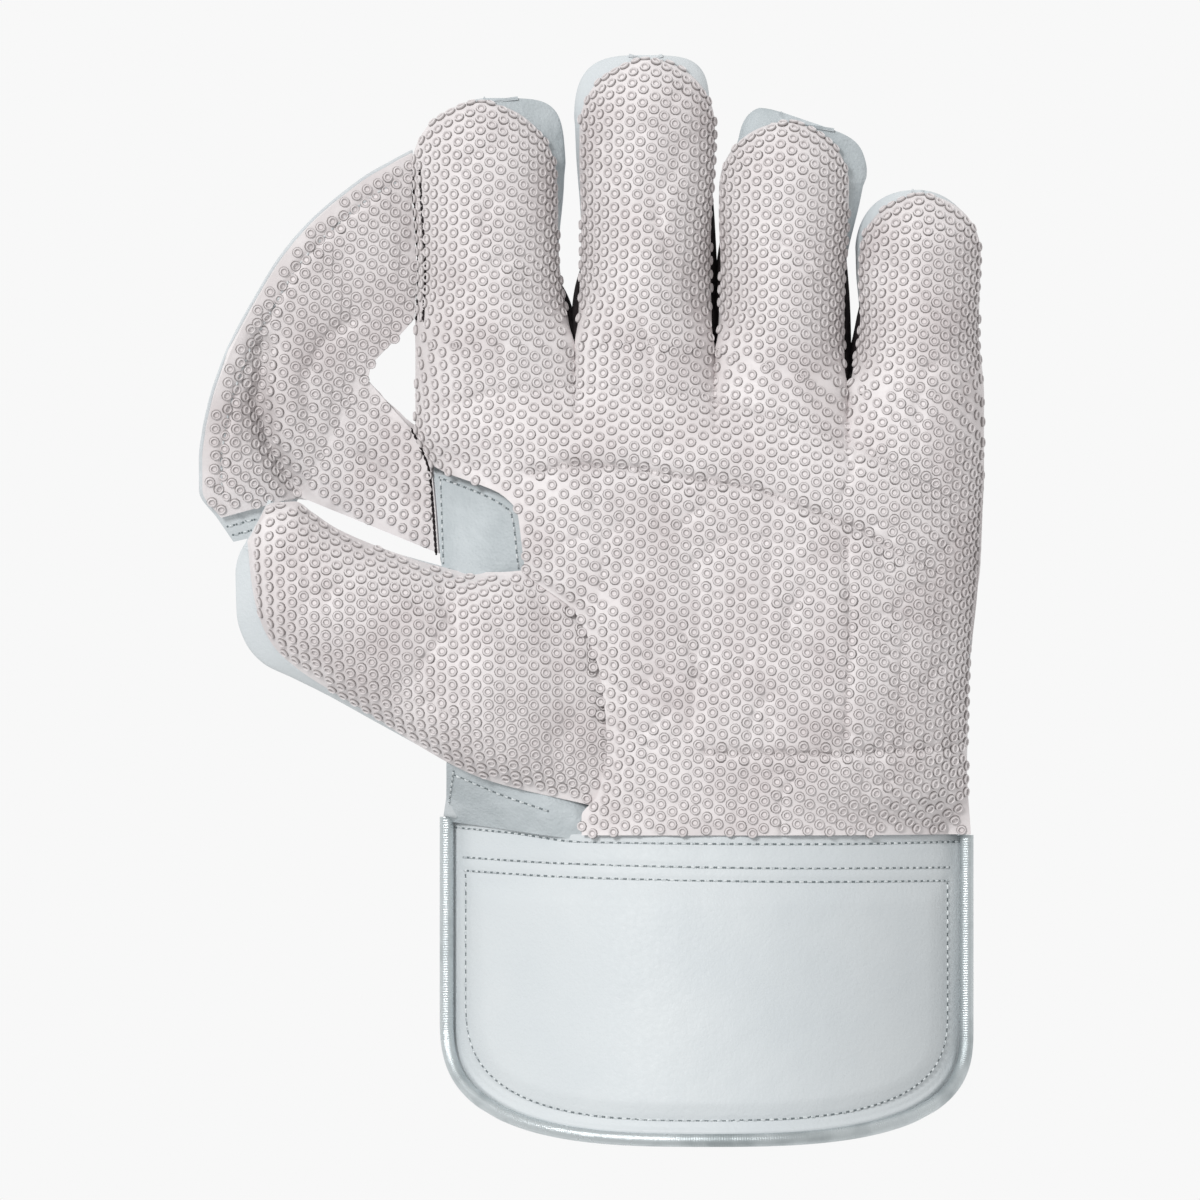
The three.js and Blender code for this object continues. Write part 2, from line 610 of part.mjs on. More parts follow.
function thumbBack() {
  const section = (left, right, bottom, rim, cap) => traySection({
    left: left - cap,
    right,
    floor: bottom,
    leftTop: rim - GAP,
    rightTop: rim - GAP,
    corner: THUMB_CORNER,
    leftRim: left,
  });
  const rows = thumbSections.slice(2).map((s) =>
    section(s.lower, s.upper, s.bottom, s.rim, s.cap).map(([c, z]) => thumbAt(s.along, c).setZ(z)));
  const opening = section(palmY(STALL_FOOT), palmY(STALL_TOP), 0.1 * PALM_HEIGHT, 0.646 * PALM_HEIGHT, 0);
  const root = opening.map(([y, z]) => vec(palmSection(palmDown(y)).left - GAP, y, z));
  const between = [0.33, 0.67].map((share) => root.map((p, i) => p.clone().lerp(rows[0][i], share)));
  const end = thumbSections.at(-1);
  const fold = section(end.lower, end.upper, end.rim - 1.5, end.rim, 0)
    .map(([c, z]) => thumbAt(end.along + 1.2, c).setZ(z));
  return [[root, ...between, ...rows, fold]];
}

// The leather gusset between the palm, the web and the thumb
function gusset() {
  const rows = shares(5).map((share) => {
    const down = lerp(GUSSET_TOP, GUSSET_FOOT + 0.02, share);
    const edge = Math.min(down, GUSSET_FOOT);
    const right = vec(rubberEdgeX(edge) - 2 * GAP, palmY(down), 0);
    right.z = palmHeight(right.x, right.y) - 1 - 3 * smooth((share - 0.7) / 0.3);
    const s = palmSection(down);
    const left = vec(s.left + 0.4, palmY(down), lerp(SEAM_HEIGHT, CROTCH_HEIGHT, share) + GAP + LEATHER);
    return shares(5).map((q) => {
      const p = left.clone().lerp(right, q);
      return p.setZ(lerp(left.z, right.z, q ** 0.8));
    });
  });
  return [rows];
}

// The leather patch between the thumb, the palm's rubber and the cuff
function wristPatch() {
  const top = WRIST_PATCH.map((row) =>
    vec(row.across * PALM_HALF_WIDTH, palmY(row.down), row.rise * PALM_HEIGHT));
  const rows = shares(3).map((share) => top.map((upper, i) => {
    const x = lerp(upper.x, i ? upper.x - 2 * GAP : palmSection(1).left + 2 * GAP, share);
    const foot = vec(x, wristY(x) + GAP, Math.max(palmHeight(x, wristY(x)) - 1, 0.27 * PALM_HEIGHT));
    return upper.clone().lerp(foot, share);
  }));
  return [rows];
}

// The catching web's band and the arm to the palm, as two grids. hem lengthens its lower end.
function webGrids(hem = 0) {
  const index = fingers[0];
  const seam = (share) => {
    const up = share * index.length;
    const place = up <= index.straight ? up / index.straight : 1 + (up - index.straight) / index.half;
    const f = fingerAt(index, place);
    return vec(f.x - f.half * roundTip(Math.max(place - 1, 0)) - GAP, f.y, 0);
  };
  const at = (row, side) => vec(
    -PALM_HALF_WIDTH - row[`${side}Out`] * WEB_REACH,
    WEB_FOOT_Y + row[`${side}Up`] * WEB_HEIGHT,
    row[`${side}Rise`] * PALM_HEIGHT,
  );
  const band = WEB_SECTIONS.map((row, i) => {
    const outer = at(row, 'outer');
    const inner = at(row, 'inner');
    return shares(4).map((share) => {
      const p = outer.clone().lerp(inner, share);
      if (i === 0) p.copy(seam(lerp(WEB_SEAM_TOP, WEB_SEAM_FOOT, share)).setZ(p.z));
      const bulge = i === 0 ? 0 : WEB_BULGE * Math.sin(Math.PI * share);
      return p.setZ(p.z + bulge);
    });
  });
  const arm = band.slice(WEB_NOTCH).map((row, i, all) => {
    const down = lerp(ARM_TOP, ARM_FOOT, i / (all.length - 1));
    const end = vec(palmSection(down).left - GAP, palmY(down), ARM_RISE * PALM_HEIGHT);
    return shares(4).map((share) => {
      const p = row.at(-1).clone().lerp(end, share);
      return p.setZ(p.z - ARM_SAG * PALM_HEIGHT * Math.sin(Math.PI * share));
    });
  });
  if (hem) {
    const [before, last] = band.slice(-2);
    const past = last.map((p, i) => {
      const reach = p.clone().sub(before[i]).normalize();
      return p.clone().addScaledVector(reach, hem);
    });
    band.push(past);
  }
  return [band, arm];
}

// The cuff's outline. u runs across from -1 to 1 and t down: from 0 at the wrist to 1 where the
// lower corners start, and to 2 at the mouth.
const cuffMouth = palmY(1) - CUFF_LENGTH;
const rounded = (share) => Math.cbrt(1 - Math.abs(share) ** 3 / 2);
function cuffPoint(u, t, inset) {
  const corner = lerp(CUFF_LEFT_CORNER, CUFF_RIGHT_CORNER, (u + 1) / 2);
  const knee = cuffMouth + inset + corner;
  const into = Math.max(t - 1, 0);
  const x = CUFF_MIDDLE_X + (CUFF_HALF_WIDTH - inset) * u * rounded(into);
  const top = wristY(x) - GAP;
  const y = t < 1 ? lerp(top, knee, t) : knee - corner * into * rounded(u);
  return vec(x, y, 0);
}

// Both panels reach the piping's inner side. The palm side arches over the hand.
const panelInset = 2 * PIPING_RADIUS + GAP;
function cuffHeight(x, y) {
  const row = rowAt(CUFF_SECTIONS, 'down', (palmY(1) - y) / CUFF_LENGTH);
  const side = (x - CUFF_MIDDLE_X) / (CUFF_HALF_WIDTH - panelInset);
  return CUFF_SIDE + (row.crown * CUFF_HEIGHT - CUFF_SIDE) * arch(side, row.square);
}
function cuffPanel(height) {
  const rows = [0, 0.5, 1, 1.35, 1.65, 1.85, 2];
  return [rows.map((t) => shares(12).map((q) => {
    const p = cuffPoint(2 * q - 1, t, panelInset);
    return p.setZ(height(p, Math.max(Math.abs(2 * q - 1), t - 1)));
  }))];
}
const cuffPalmPanel = () => cuffPanel((p) => cuffHeight(p.x, p.y));
const cuffBackPanel = () => cuffPanel((p, edge) => (edge === 1 ? 1 : 0));

function padding(point) {
  const away = Math.min(
    palmY(1) - point.y,
    point.y - cuffMouth - panelInset,
    CUFF_HALF_WIDTH - Math.abs(point.x - CUFF_MIDDLE_X) - panelInset,
  );
  return lerp(CUFF_EDGE, CUFF_PADDING, smooth(away / CUFF_PADDING / 3));
}

// The piping's middle line: down one side, round the mouth and up the other side
function pipingLine(height) {
  const side = [0, 0.5, 1, 1.25, 1.5, 1.75].map((t) => [-1, t]);
  const mouth = [-1, -0.85, -0.65, -0.4, -0.15].map((u) => [u, 2]);
  const left = [...side, ...mouth];
  const right = left.map(([u, t]) => [-u, t]).reverse();
  return [...left, ...right].map(([u, t]) => {
    const p = cuffPoint(u, t, PIPING_RADIUS);
    return p.setZ(height(p));
  });
}
function frontPipingHeight(p) {
  const inward = 1 - (PIPING_RADIUS + GAP) / CUFF_HALF_WIDTH;
  const x = CUFF_MIDDLE_X + (p.x - CUFF_MIDDLE_X) * inward;
  const side = Math.abs(p.x - CUFF_MIDDLE_X) / (CUFF_HALF_WIDTH - PIPING_RADIUS);
  return cuffHeight(x, p.y) + lerp(-CUFF_EDGE / 2, FRONT_PIPING_HEIGHT - CUFF_SIDE, side ** 6);
}

// Materials: the slots are named after them.
const rubber = new THREE.MeshStandardMaterial({ color: 0xd9d3d3, roughness: 0.6, name: 'pimpled_rubber' });
const leather = new THREE.MeshStandardMaterial({ color: 0xccd5d8, roughness: 0.55, name: 'glove_leather' });
const cloth = new THREE.MeshStandardMaterial({ color: 0x1c1416, roughness: 0.9, name: 'black_cloth' });
const silver = new THREE.MeshStandardMaterial({ color: 0xc9d0d2, roughness: 0.35, metalness: 0.4, name: 'piping' });

const group = new THREE.Group();
group.name = 'wicketkeeping_glove';
function add(name, geometry, material) {
  const shaded = geometry.clone();
  shaded.computeVertexNormals();
  const mesh = new THREE.Mesh(shaded, material);
  mesh.name = name;
  group.add(mesh);
}

// A sheet or panel from its grids. Its neighbours' walls, grown by the gap, are cut away from it.
const spaces = {};
function sheet(name, grids, facing, thickness, material, neighbours = []) {
  const deep = (extra) => (point) => (typeof thickness === 'function' ? thickness(point) : thickness) + extra;
  const body = wall(grids, facing, 0, deep(0));
  spaces[name] = wall(grids, facing, -GAP, deep(GAP), GAP);
  add(name, neighbours.length ? cut(body, neighbours.map((other) => spaces[other])) : body, material);
}

const TRAY = BACK_PADDING * 0.75;
sheet('palm_rubber', palmGrid(), 1, RUBBER, rubber);
for (const finger of fingers) {
  sheet(`${finger.name}_rubber`, fingerGrid(finger), 1, RUBBER, rubber, ['palm_rubber']);
}
sheet('thumb_rubber', thumbFront(), 1, RUBBER, rubber, ['palm_rubber']);
sheet('hand_back', handBack(), -1, BACK_PADDING, leather, ['palm_rubber', 'thumb_rubber']);
for (const finger of fingers) {
  const beside = ['palm_rubber', `${finger.name}_rubber`, 'hand_back'];
  sheet(`${finger.name}_back`, fingerBack(finger), -1, TRAY, leather, beside);
}
sheet('thumb_back', thumbBack(), -1, TRAY, leather, ['thumb_rubber', 'hand_back']);
const thumbSide = ['palm_rubber', 'thumb_rubber', 'hand_back', 'thumb_back'];
sheet('thumb_gusset', gusset(), 1, LEATHER, leather, thumbSide);
sheet('wrist_patch', wristPatch(), 1, LEATHER, leather, thumbSide);
const webSide = ['palm_rubber', 'index_rubber', 'hand_back', 'index_back', 'thumb_gusset'];
sheet('web_rubber', webGrids(), 1, WEB_RUBBER, rubber, webSide);
const lowered = webGrids(WEB_BACKING_HEM).map((grid) => grid.map((row) =>
  row.map((p) => p.clone().setZ(p.z - WEB_RUBBER - GAP))));
sheet('web_backing', lowered, 1, LEATHER, leather, [...webSide, 'web_rubber']);

['index_middle', 'middle_ring', 'ring_little'].forEach((name, i) => {
  const [finger, next] = [fingers[i], fingers[i + 1]];
  const beside = ['palm_rubber', ...[finger, next].flatMap((f) => [`${f.name}_rubber`, `${f.name}_back`])];
  sheet(`fourchette_${name}`, fourchette(finger, next), 0, FOURCHETTE, cloth, beside);
});

const wrist = ['palm_rubber', 'hand_back', 'wrist_patch'];
sheet('cuff_palm_panel', cuffPalmPanel(), 1, padding, leather, wrist);
sheet('cuff_back_panel', cuffBackPanel(), -1, padding, leather, wrist);
const beside = [...wrist, 'cuff_palm_panel', 'cuff_back_panel'].map((name) => spaces[name]);
add('cuff_palm_piping', cut(cord(pipingLine(frontPipingHeight), PIPING_RADIUS), beside), silver);
add('cuff_back_piping', cut(cord(pipingLine(() => BACK_PIPING_HEIGHT), PIPING_RADIUS), beside), silver);

export default group;
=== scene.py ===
"""A left-hand wicketkeeping glove: pimpled rubber front, leather back, catching web and piped cuff.
It lies on its back with the palm up. Lengths in the tables are millimetres or shares of them."""
import json
import math

import bpy
import numpy as np
from bpy.props import FloatProperty, FloatVectorProperty, PointerProperty
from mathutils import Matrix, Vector
from mathutils.bvhtree import BVHTree

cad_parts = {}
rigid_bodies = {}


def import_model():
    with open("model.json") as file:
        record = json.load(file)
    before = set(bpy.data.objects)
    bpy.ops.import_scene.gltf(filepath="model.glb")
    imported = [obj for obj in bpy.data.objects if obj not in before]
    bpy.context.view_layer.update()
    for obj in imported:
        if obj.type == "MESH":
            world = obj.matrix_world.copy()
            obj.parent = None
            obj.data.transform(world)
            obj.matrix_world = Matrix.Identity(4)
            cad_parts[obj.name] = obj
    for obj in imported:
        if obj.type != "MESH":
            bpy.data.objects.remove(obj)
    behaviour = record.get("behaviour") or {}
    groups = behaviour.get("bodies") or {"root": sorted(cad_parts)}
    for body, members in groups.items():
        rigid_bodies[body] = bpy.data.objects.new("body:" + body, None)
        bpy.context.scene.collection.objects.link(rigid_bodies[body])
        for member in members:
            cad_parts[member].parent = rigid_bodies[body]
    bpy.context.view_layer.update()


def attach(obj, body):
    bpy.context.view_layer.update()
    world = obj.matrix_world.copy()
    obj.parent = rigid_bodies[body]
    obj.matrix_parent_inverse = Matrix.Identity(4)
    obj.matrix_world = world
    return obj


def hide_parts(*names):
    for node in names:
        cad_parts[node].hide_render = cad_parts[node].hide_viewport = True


bl_info = {
    "name": "Wicketkeeping Glove",
    "version": (1, 0, 0),
    "blender": (4, 5, 0),
    "location": "View3D > Sidebar > Glove",
    "description": "Builds a wicketkeeping glove from its rubber front, leather back, web and cuff",
    "category": "Object",
}

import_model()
MM = 0.001

PALM_HALF_WIDTH = 84
PALM_LENGTH = 147  # from the slits between the fingers to the cuff
KNUCKLE_Y = 76.5
PALM_HEIGHT = 48
SEAM_HEIGHT = 18  # where the rubber front meets the leather back
POCKET_DEPTH = 3
POCKET_RADIUS = 42
CROTCH_HEIGHT = 28  # of the rubber at the end of a slit
FINGER_WIDTH = 42
FINGER_LENGTH = 87
FINGER_HEIGHT = 33
FINGERTIP_HEIGHT = 24
WRAP = math.radians(80)  # how far the rubber goes round a finger, each way from its top
TIP_END = 0.975  # how far the rubber goes round a fingertip before it folds down
CLOSING_ROWS = (1.985, 1.993, 1.998, 2)  # where the leather closes over a fingertip
SLIT_PINCH = 0.9  # how far a finger's side draws in beside its slit
BACK_CORNER = 9
HAND_CORNER = 14
LOW_SIDE = 8  # the leather's height where a black strip stands on it
THUMB_LENGTH = 100
THUMB_WIDTH = 45
THUMB_DEPTH = 34
THUMB_LIFT = 18
THUMB_ANGLE = math.radians(152.4)
THUMB_ROOT = np.array([PALM_HALF_WIDTH * -0.524, PALM_LENGTH * -0.19])
THUMB_CORNER = 12
SEAM_END = 0.94  # where the thumb's seam meets the wrist
SEAM_VALLEY = 2.6  # depth of the palm beside that seam
GUSSET_TOP = 0.265
GUSSET_FOOT = 0.459
GUSSET_HEM = 0.479  # it goes on under the thumb's rubber
WEB_REACH = 65
WEB_HEIGHT = 111
WEB_FOOT_Y = PALM_LENGTH * 0.159
WEB_SEAM = (0.79, 0.11)  # its ends on the index finger
WEB_ARM = (0.18, 0.425)  # the arm's ends on the palm
WEB_NOTCH = 3  # the row of WEB where the arm starts
WEB_STEPS = 12  # finer rows from one row of WEB to the next
WEB_ARM_RISE = 0.4
WEB_ARM_SAG = 0.05
WEB_BULGE = 2
WEB_HEM = 9  # how far the leather goes past the rubber's lower end
WEB_GROOVE = 6  # from the web's outer edge to its stitched groove
CUFF_HALF_WIDTH = PALM_HALF_WIDTH * 0.957
CUFF_MIDDLE_X = PALM_HALF_WIDTH * 0.043
CUFF_LENGTH = 93
CUFF_CORNERS = (37, 33)
CUFF_HEIGHT = 54
CUFF_SIDE = 5
CUFF_EAR = 5.5  # how far the cuff's corner rises beside the thumb
CUFF_LAP = 1.7  # the height of the palm's rubber over the cuff
CUFF_TUCK = 1.9  # how far the cuff's leather goes on under its piping
PIPING_RADIUS = 2.1
FRONT_PIPING_HEIGHT = 6.9
BACK_PIPING_HEIGHT = 2.3

# Thicknesses of the walls
RUBBER = 2.5
WEB_RUBBER = 2.2
LEATHER = 1.5
HAND_PADDING = 4
STALL_PADDING = 3
TIP_PADDING = 0.5
CUFF_PADDING = 6
CUFF_EDGE = 3
STRIP = 1.2
GAP = 0.3

PALM = {
    "down": (0, 0.17, 0.25, 0.45, 0.65, 0.85, 1),
    "left": (-1, -1, -0.94, -0.91, -0.88, -0.87, -0.9),
    "right": (1.035, 1.035, 1.03, 1.01, 0.98, 0.975, 0.99),
    "crown": (0.81, 0.95, 0.98, 1, 1, 0.96, 0.9),
    "seam": (1, 1, 1, 1, 0.95, 0.8, 0.62),
    "square": (1, 1, 1, 0.95, 0.75, 0.4, 0.1),
}
RUBBER_EDGE = {
    "down": (0, 0.17, 0.245, 0.306, 0.341, 0.4, 0.459, 0.545, 0.615, 0.684, 0.827, 0.92, 0.96, 1),
    "across": (-1, -1, -0.935, -0.69, -0.635, -0.62, -0.605, -0.43, -0.37, -0.335, -0.314, -0.35,
               -0.405, -0.405),
}
SLITS = ((-1, 0), (-0.43, 0), (0.071, -0.014), (0.546, -0.092), (1.035, -0.11))
FINGERS = (
    {"name": "index", "length": 0.84, "width": 1.036, "lean": -0.11, "shift": 0.07,
     "reach": 0.012, "side": 0.28, "corners": (2, 5), "slant": 0},
    {"name": "middle", "length": 1, "width": 0.97, "lean": 0.024, "shift": -0.04,
     "reach": 0.012, "side": 0.56, "corners": (3.2, 4), "slant": 0},
    {"name": "ring", "length": 0.86, "width": 0.93, "lean": 0.03, "shift": 0.125,
     "reach": 0.06, "side": 0.52, "corners": (4.5, 6), "slant": 0.34},
    {"name": "little", "length": 0.69, "width": 0.87, "lean": 0.045, "shift": -0.03,
     "reach": 0.015, "side": 0, "corners": (2.4, 2), "slant": 0},
)
THUMB = {
    "along": (0.38, 0.47, 0.59, 0.7, 0.8, 0.88, 0.94, 1),
    "upper": (0.47, 0.41, 0.36, 0.33, 0.32, 0.34, 0.35, 0.27),
    "lower": (-0.69, -0.67, -0.655, -0.63, -0.565, -0.43, -0.27, -0.07),
    "cap": (0, 0.02, 0.04, 0.07, 0.14, 0.2, 0.22, 0.18),
    "lift": (0.35, 0.5, 0.65, 0.8, 0.9, 1, 1.15, 1.4),
    "depth": (1.2, 1.15, 1.1, 1.03, 0.95, 0.85, 0.68, 0.36),
    "rim": (0.6, 0.58, 0.55, 0.52, 0.5, 0.5, 0.5, 0.5),
}
WEB = {
    "outer_out": (0, 0.198, 0.383, 0.568, 0.729, 0.868, 0.946, 0.985, 0.985, 0.9),
    "outer_up": (1, 0.94, 0.857, 0.749, 0.6, 0.438, 0.303, 0.168, 0.086, 0.012),
    "outer_rise": (0.42, 0.5, 0.56, 0.59, 0.6, 0.56, 0.5, 0.42, 0.36, 0.28),
    "inner_out": (0, 0.07, 0.16, 0.245, 0.31, 0.375, 0.435, 0.485, 0.515, 0.54),
    "inner_up": (0.55, 0.508, 0.455, 0.4, 0.325, 0.25, 0.185, 0.13, 0.1, 0.07),
    "inner_rise": (0.4, 0.4, 0.39, 0.37, 0.34, 0.31, 0.28, 0.26, 0.24, 0.22),
}
WRIST_PATCH = {
    "across": (-0.888, -0.762, -0.619, -0.5, -0.37),
    "down": (0.855, 0.865, 0.89, 0.915, 0.94),
    "rise": (0.63, 0.66, 0.69, 0.71, 0.66),
}
THUMB_SIDE_WALL = {
    "down": (0, 0.26, 0.45, 0.47, 0.84, 0.87, 0.93, 1),
    "top": (17.7, 17.7, 26, 5, 5, 26, 19, 11),
}
CUFF = {"down": (0, 0.3, 1), "crown": (0.78, 0.86, 1), "square": (0.1, 0.1, 0.15)}

# Creases of the rubber: a line of points, its depth and its half width
PALM_CREASES = (
    (((-77, 59), (-58, 63), (-38, 65), (2, 61.5), (46, 48), (80, 29)), 1.4, 1.9),
    (((-50, 38), (-36, 40.5), (-20, 39.5), (19, 33), (49, 21), (72, 8)), 1.6, 1.9),
    (((45, 18), (46, -10), (45, -42)), 1.0, 1.5),
    (((3, -45.5), (40, -46), (83, -44)), 1.3, 1.6),
    (((-1, 12), (1, -12), (-2, -38)), 0.5, 2.2),
    (((22, 14), (19, -14), (22, -40)), 0.5, 2.4),
    (((64, -4), (61, -22), (62, -40)), 0.7, 2.2),
    (((-1, 12), (14, 20), (30, 17)), 0.5, 2.0),
    (((66, 62), (74, 50), (82, 44)), 0.8, 1.8),
    (((-74, 96), (-60, 90), (-50, 92)), 0.5, 1.8),
    (((52, 44), (66, 34), (82, 20)), 0.8, 1.9),
    (((-26, -30), (-8, -20), (6, -26)), 0.5, 1.8),
)
THUMB_CREASES = (
    (((-77, 11), (-75, -3), (-71, -15)), 1.0, 2.8),
    (((-64, 6), (-58, -12), (-55, -32)), 0.6, 3.6),
    (((-48, 4), (-41, -18), (-39, -38), (-46, -58)), 0.5, 3.6),
    (((-95, -2), (-84, -14), (-78, -28)), 0.5, 3.4),
)
WEB_CREASES = (
    (((-112, 24), (-119, 31), (-128, 47), (-131, 62), (-130, 76)), 5.2, 6.0),
    (((-112, 24), (-119, 31), (-129, 47), (-134, 62)), 1.6, 2.4),
    (((-104, 84), (-112, 78), (-118, 66), (-116, 52)), 1.2, 3.4),
    (((-100, 44), (-92, 36), (-86, 30)), 1.2, 3.0),
)


# Shapes

def smooth(value):
    t = np.clip(value, 0, 1)
    return t * t * (3 - 2 * t)


def mix(a, b, share):
    return a + (b - a) * share


def through(keys, values, at):
    """A smooth curve through the values that never swings past them"""
    keys = np.asarray(keys, float)
    values = np.asarray(values, float)
    step = np.diff(keys)
    rise = np.diff(values, axis=0) / step.reshape((-1,) + (1,) * (values.ndim - 1))
    slope = np.zeros_like(values)
    product = rise[:-1] * rise[1:]
    total = rise[:-1] + rise[1:]
    slope[1:-1] = np.where(product > 0, 2 * product / np.where(product > 0, total, 1), 0)
    slope[0], slope[-1] = rise[0], rise[-1]
    at = np.clip(np.asarray(at, float), keys[0], keys[-1])
    i = np.clip(np.searchsorted(keys, at, side="right") - 1, 0, len(step) - 1)
    extra = (1,) * (values.ndim - 1)
    h = step[i].reshape(at.shape + extra)
    t = ((at - keys[i]) / step[i]).reshape(at.shape + extra)
    return (
        values[i] * (1 + 2 * t) * (1 - t) ** 2
        + slope[i] * h * t * (1 - t) ** 2
        + values[i + 1] * t * t * (3 - 2 * t)
        + slope[i + 1] * h * t * t * (t - 1)
    )


def refine(grid, rows, columns):
    """A finer grid on the smooth surface through a grid of points"""
    grid = np.asarray(grid, float)
    down = through(np.arange(len(grid)), grid, np.linspace(0, len(grid) - 1, rows))
    across = np.swapaxes(down, 0, 1)
    finer = through(np.arange(len(across)), across, np.linspace(0, len(across) - 1, columns))
    return np.swapaxes(finer, 0, 1)


def points(x, y, z):
    return np.stack(np.broadcast_arrays(x, y, z), -1).astype(float)


def palm_at(down):
    get = {name: through(PALM["down"], PALM[name], down) for name in PALM if name != "down"}
    return (get["left"] * PALM_HALF_WIDTH, get["right"] * PALM_HALF_WIDTH, get["crown"] * PALM_HEIGHT,
            get["seam"] * SEAM_HEIGHT, get["square"])


def rubber_edge(down):
    return through(RUBBER_EDGE["down"], RUBBER_EDGE["across"], down) * PALM_HALF_WIDTH


def palm_y(down):
    return KNUCKLE_Y - down * PALM_LENGTH


def palm_down(y):
    return (KNUCKLE_Y - y) / PALM_LENGTH


def wrist_y(x):
    return palm_y(1) + CUFF_EAR * np.clip((-34 - x) / 40, 0, 1)


def arch(side, square):
    flatness = 2.2 + 0.8 * square
    return (1 - np.minimum(1, np.abs(side)) ** flatness) ** (1 / (1 + square))


def palm_height(x, y):
    left, right, crown, seam, square = palm_at(palm_down(y))
    side = (2 * x - left - right) / (right - left)
    away = np.hypot(x, y) / POCKET_RADIUS
    return seam + (crown - seam) * arch(side, square) - POCKET_DEPTH * np.exp(-away * away)


def distance(x, y, line):
    """How far points lie from a line of points, in plan"""
    nearest = np.full(np.shape(x), 1e9)
    for (ax, ay), (bx, by) in zip(line, line[1:]):
        dx, dy = bx - ax, by - ay
        t = np.clip(((x - ax) * dx + (y - ay) * dy) / (dx * dx + dy * dy), 0, 1)
        nearest = np.minimum(nearest, np.hypot(x - ax - t * dx, y - ay - t * dy))
    return nearest


def lumps(x, y, size, seed):
    """A soft unevenness between -1 and 1, from a few crossing waves"""
    rng = np.random.default_rng(seed)
    total = 0
    for _ in range(6):
        angle, phase = rng.uniform(0, 2 * math.pi, 2)
        wave = 2 * math.pi / (size * rng.uniform(0.7, 1.5))
        total = total + np.sin((x * math.cos(angle) + y * math.sin(angle)) * wave + phase)
    return total / 6


def crease_painted_shade(spots, creases):
    """How much painted shade the sheet takes in its creases"""
    dust_and_shade = np.zeros(len(spots))
    for line, depth, width in creases:
        dust_and_shade += 0.07 * depth * np.exp(-(distance(spots[:, 0], spots[:, 1], line) / width / 0.55) ** 2)
    return np.clip(dust_and_shade, 0, 0.14)


def relief(x, y, creases, crumple=1.0):
    """The creases, the fine wrinkles and the padding's unevenness in the rubber"""
    height = 0.4 * lumps(x, y, 24, 4) + 0.2 * lumps(x, y, 10, 9)
    for seed, size, depth in ((31, 30, 0.85), (47, 21, 0.6)):
        strength = crumple * smooth(0.5 + 2.5 * lumps(x, y, 34, seed + 1))
        height = height - depth * strength * np.exp(-(lumps(x, y, size, seed) / 0.09) ** 2)
    for line, depth, width in creases:
        away = distance(x, y, line) / width
        height = height - depth * (0.6 * np.exp(-(away / 1.3) ** 2) + 0.7 * np.exp(-(away * 2) ** 2))
    return height


slits = [(across * PALM_HALF_WIDTH, KNUCKLE_Y + up * PALM_LENGTH) for across, up in SLITS]


def knuckle_line(x):
    return np.interp(x, [s[0] for s in slits], [s[1] for s in slits])


def wrapped(angle):
    """Where a point at an angle round the top of a finger lies: across it, from -1, and up it, from 0"""
    return np.sin(angle) / math.sin(WRAP), (np.cos(angle) - math.cos(WRAP)) / (1 - math.cos(WRAP))


class Finger:
    """A finger's middle line, width and heights. place runs to 1 along its straight part and on
    to 2 over its rounded tip."""

    def __init__(self, order, row):
        self.order = order
        self.name = row["name"]
        self.row = row
        self.outer = (order == len(FINGERS) - 1) - (order == 0)
        self.a, self.b = slits[order], slits[order + 1]
        self.length = row["length"] * FINGER_LENGTH
        self.half = row["width"] * FINGER_WIDTH / 2
        self.straight = self.length - self.half

    def at(self, place, reach=0):
        straight = np.minimum(place, 1)
        tip = np.maximum(np.asarray(place, float) - 1, 0)
        up = straight * self.straight + tip * (self.half + reach)
        inner = mix(CROTCH_HEIGHT, SEAM_HEIGHT, smooth(straight / 0.25))
        outer = SEAM_HEIGHT + 0 * inner
        pinch = SLIT_PINCH * smooth(straight / 0.12) * (1 - smooth((straight - 0.5) / 0.4))
        (ax, ay), (bx, by) = self.a, self.b
        crown = mix(PALM["crown"][0] * PALM_HEIGHT, FINGER_HEIGHT, smooth(straight))
        return {
            "x": (ax + bx) / 2 + self.row["lean"] * FINGER_WIDTH * up / self.length + self.outer * pinch / 2,
            "y": (ay + by) / 2 + up,
            "half": mix((bx - ax) / 2, self.half, smooth(straight / 0.5)) - pinch * (1 - abs(self.outer) / 2),
            "slope": (by - ay) / 2 * (1 - smooth(straight / 0.8)),
            "crown": mix(crown, FINGERTIP_HEIGHT, tip * tip),
            "left": outer if self.order == 0 else inner,
            "right": outer if self.order == len(FINGERS) - 1 else inner,
        }

    def numbers(self, place, reach=0):
        return {key: float(value) for key, value in self.at(place, reach).items()}

    def left_edge(self, place):
        """Where the finger's left side runs, in plan"""
        f = self.numbers(place)
        tip = max(place - 1, 0)
        return f["x"] - f["half"] * math.sqrt(1 - tip * tip), f["y"]

    def slanted(self, x):
        """How far the leather's tip is cut back, towards its right"""
        return self.row["slant"] * np.maximum(x - float(self.at(2)["x"]) + 8, 0)

    def front(self, place, angle):
        """Points of the rubber front. Past 2, place folds it down over the tip."""
        fold = np.clip((place - 2) / 0.1, 0, 1)
        place = np.where(place > 2, mix(1 + TIP_END, 2, fold), np.minimum(place, 1 + TIP_END))
        f = self.at(place)
        side, lift = wrapped(angle)
        tip = np.clip(place - 1, 0, TIP_END)
        half = f["half"] * np.sqrt(1 - tip * tip)
        edge = mix(f["left"], f["right"], (side + 1) / 2)
        x = f["x"] + side * half
        y = f["y"] + side * f["slope"]
        z = edge + (f["crown"] - edge) * lift * np.sqrt(1 - fold * fold)
        return points(x, y, z + relief(x, y, PALM_CREASES) * lift * (1 - fold))


fingers = [Finger(i, row) for i, row in enumerate(FINGERS)]


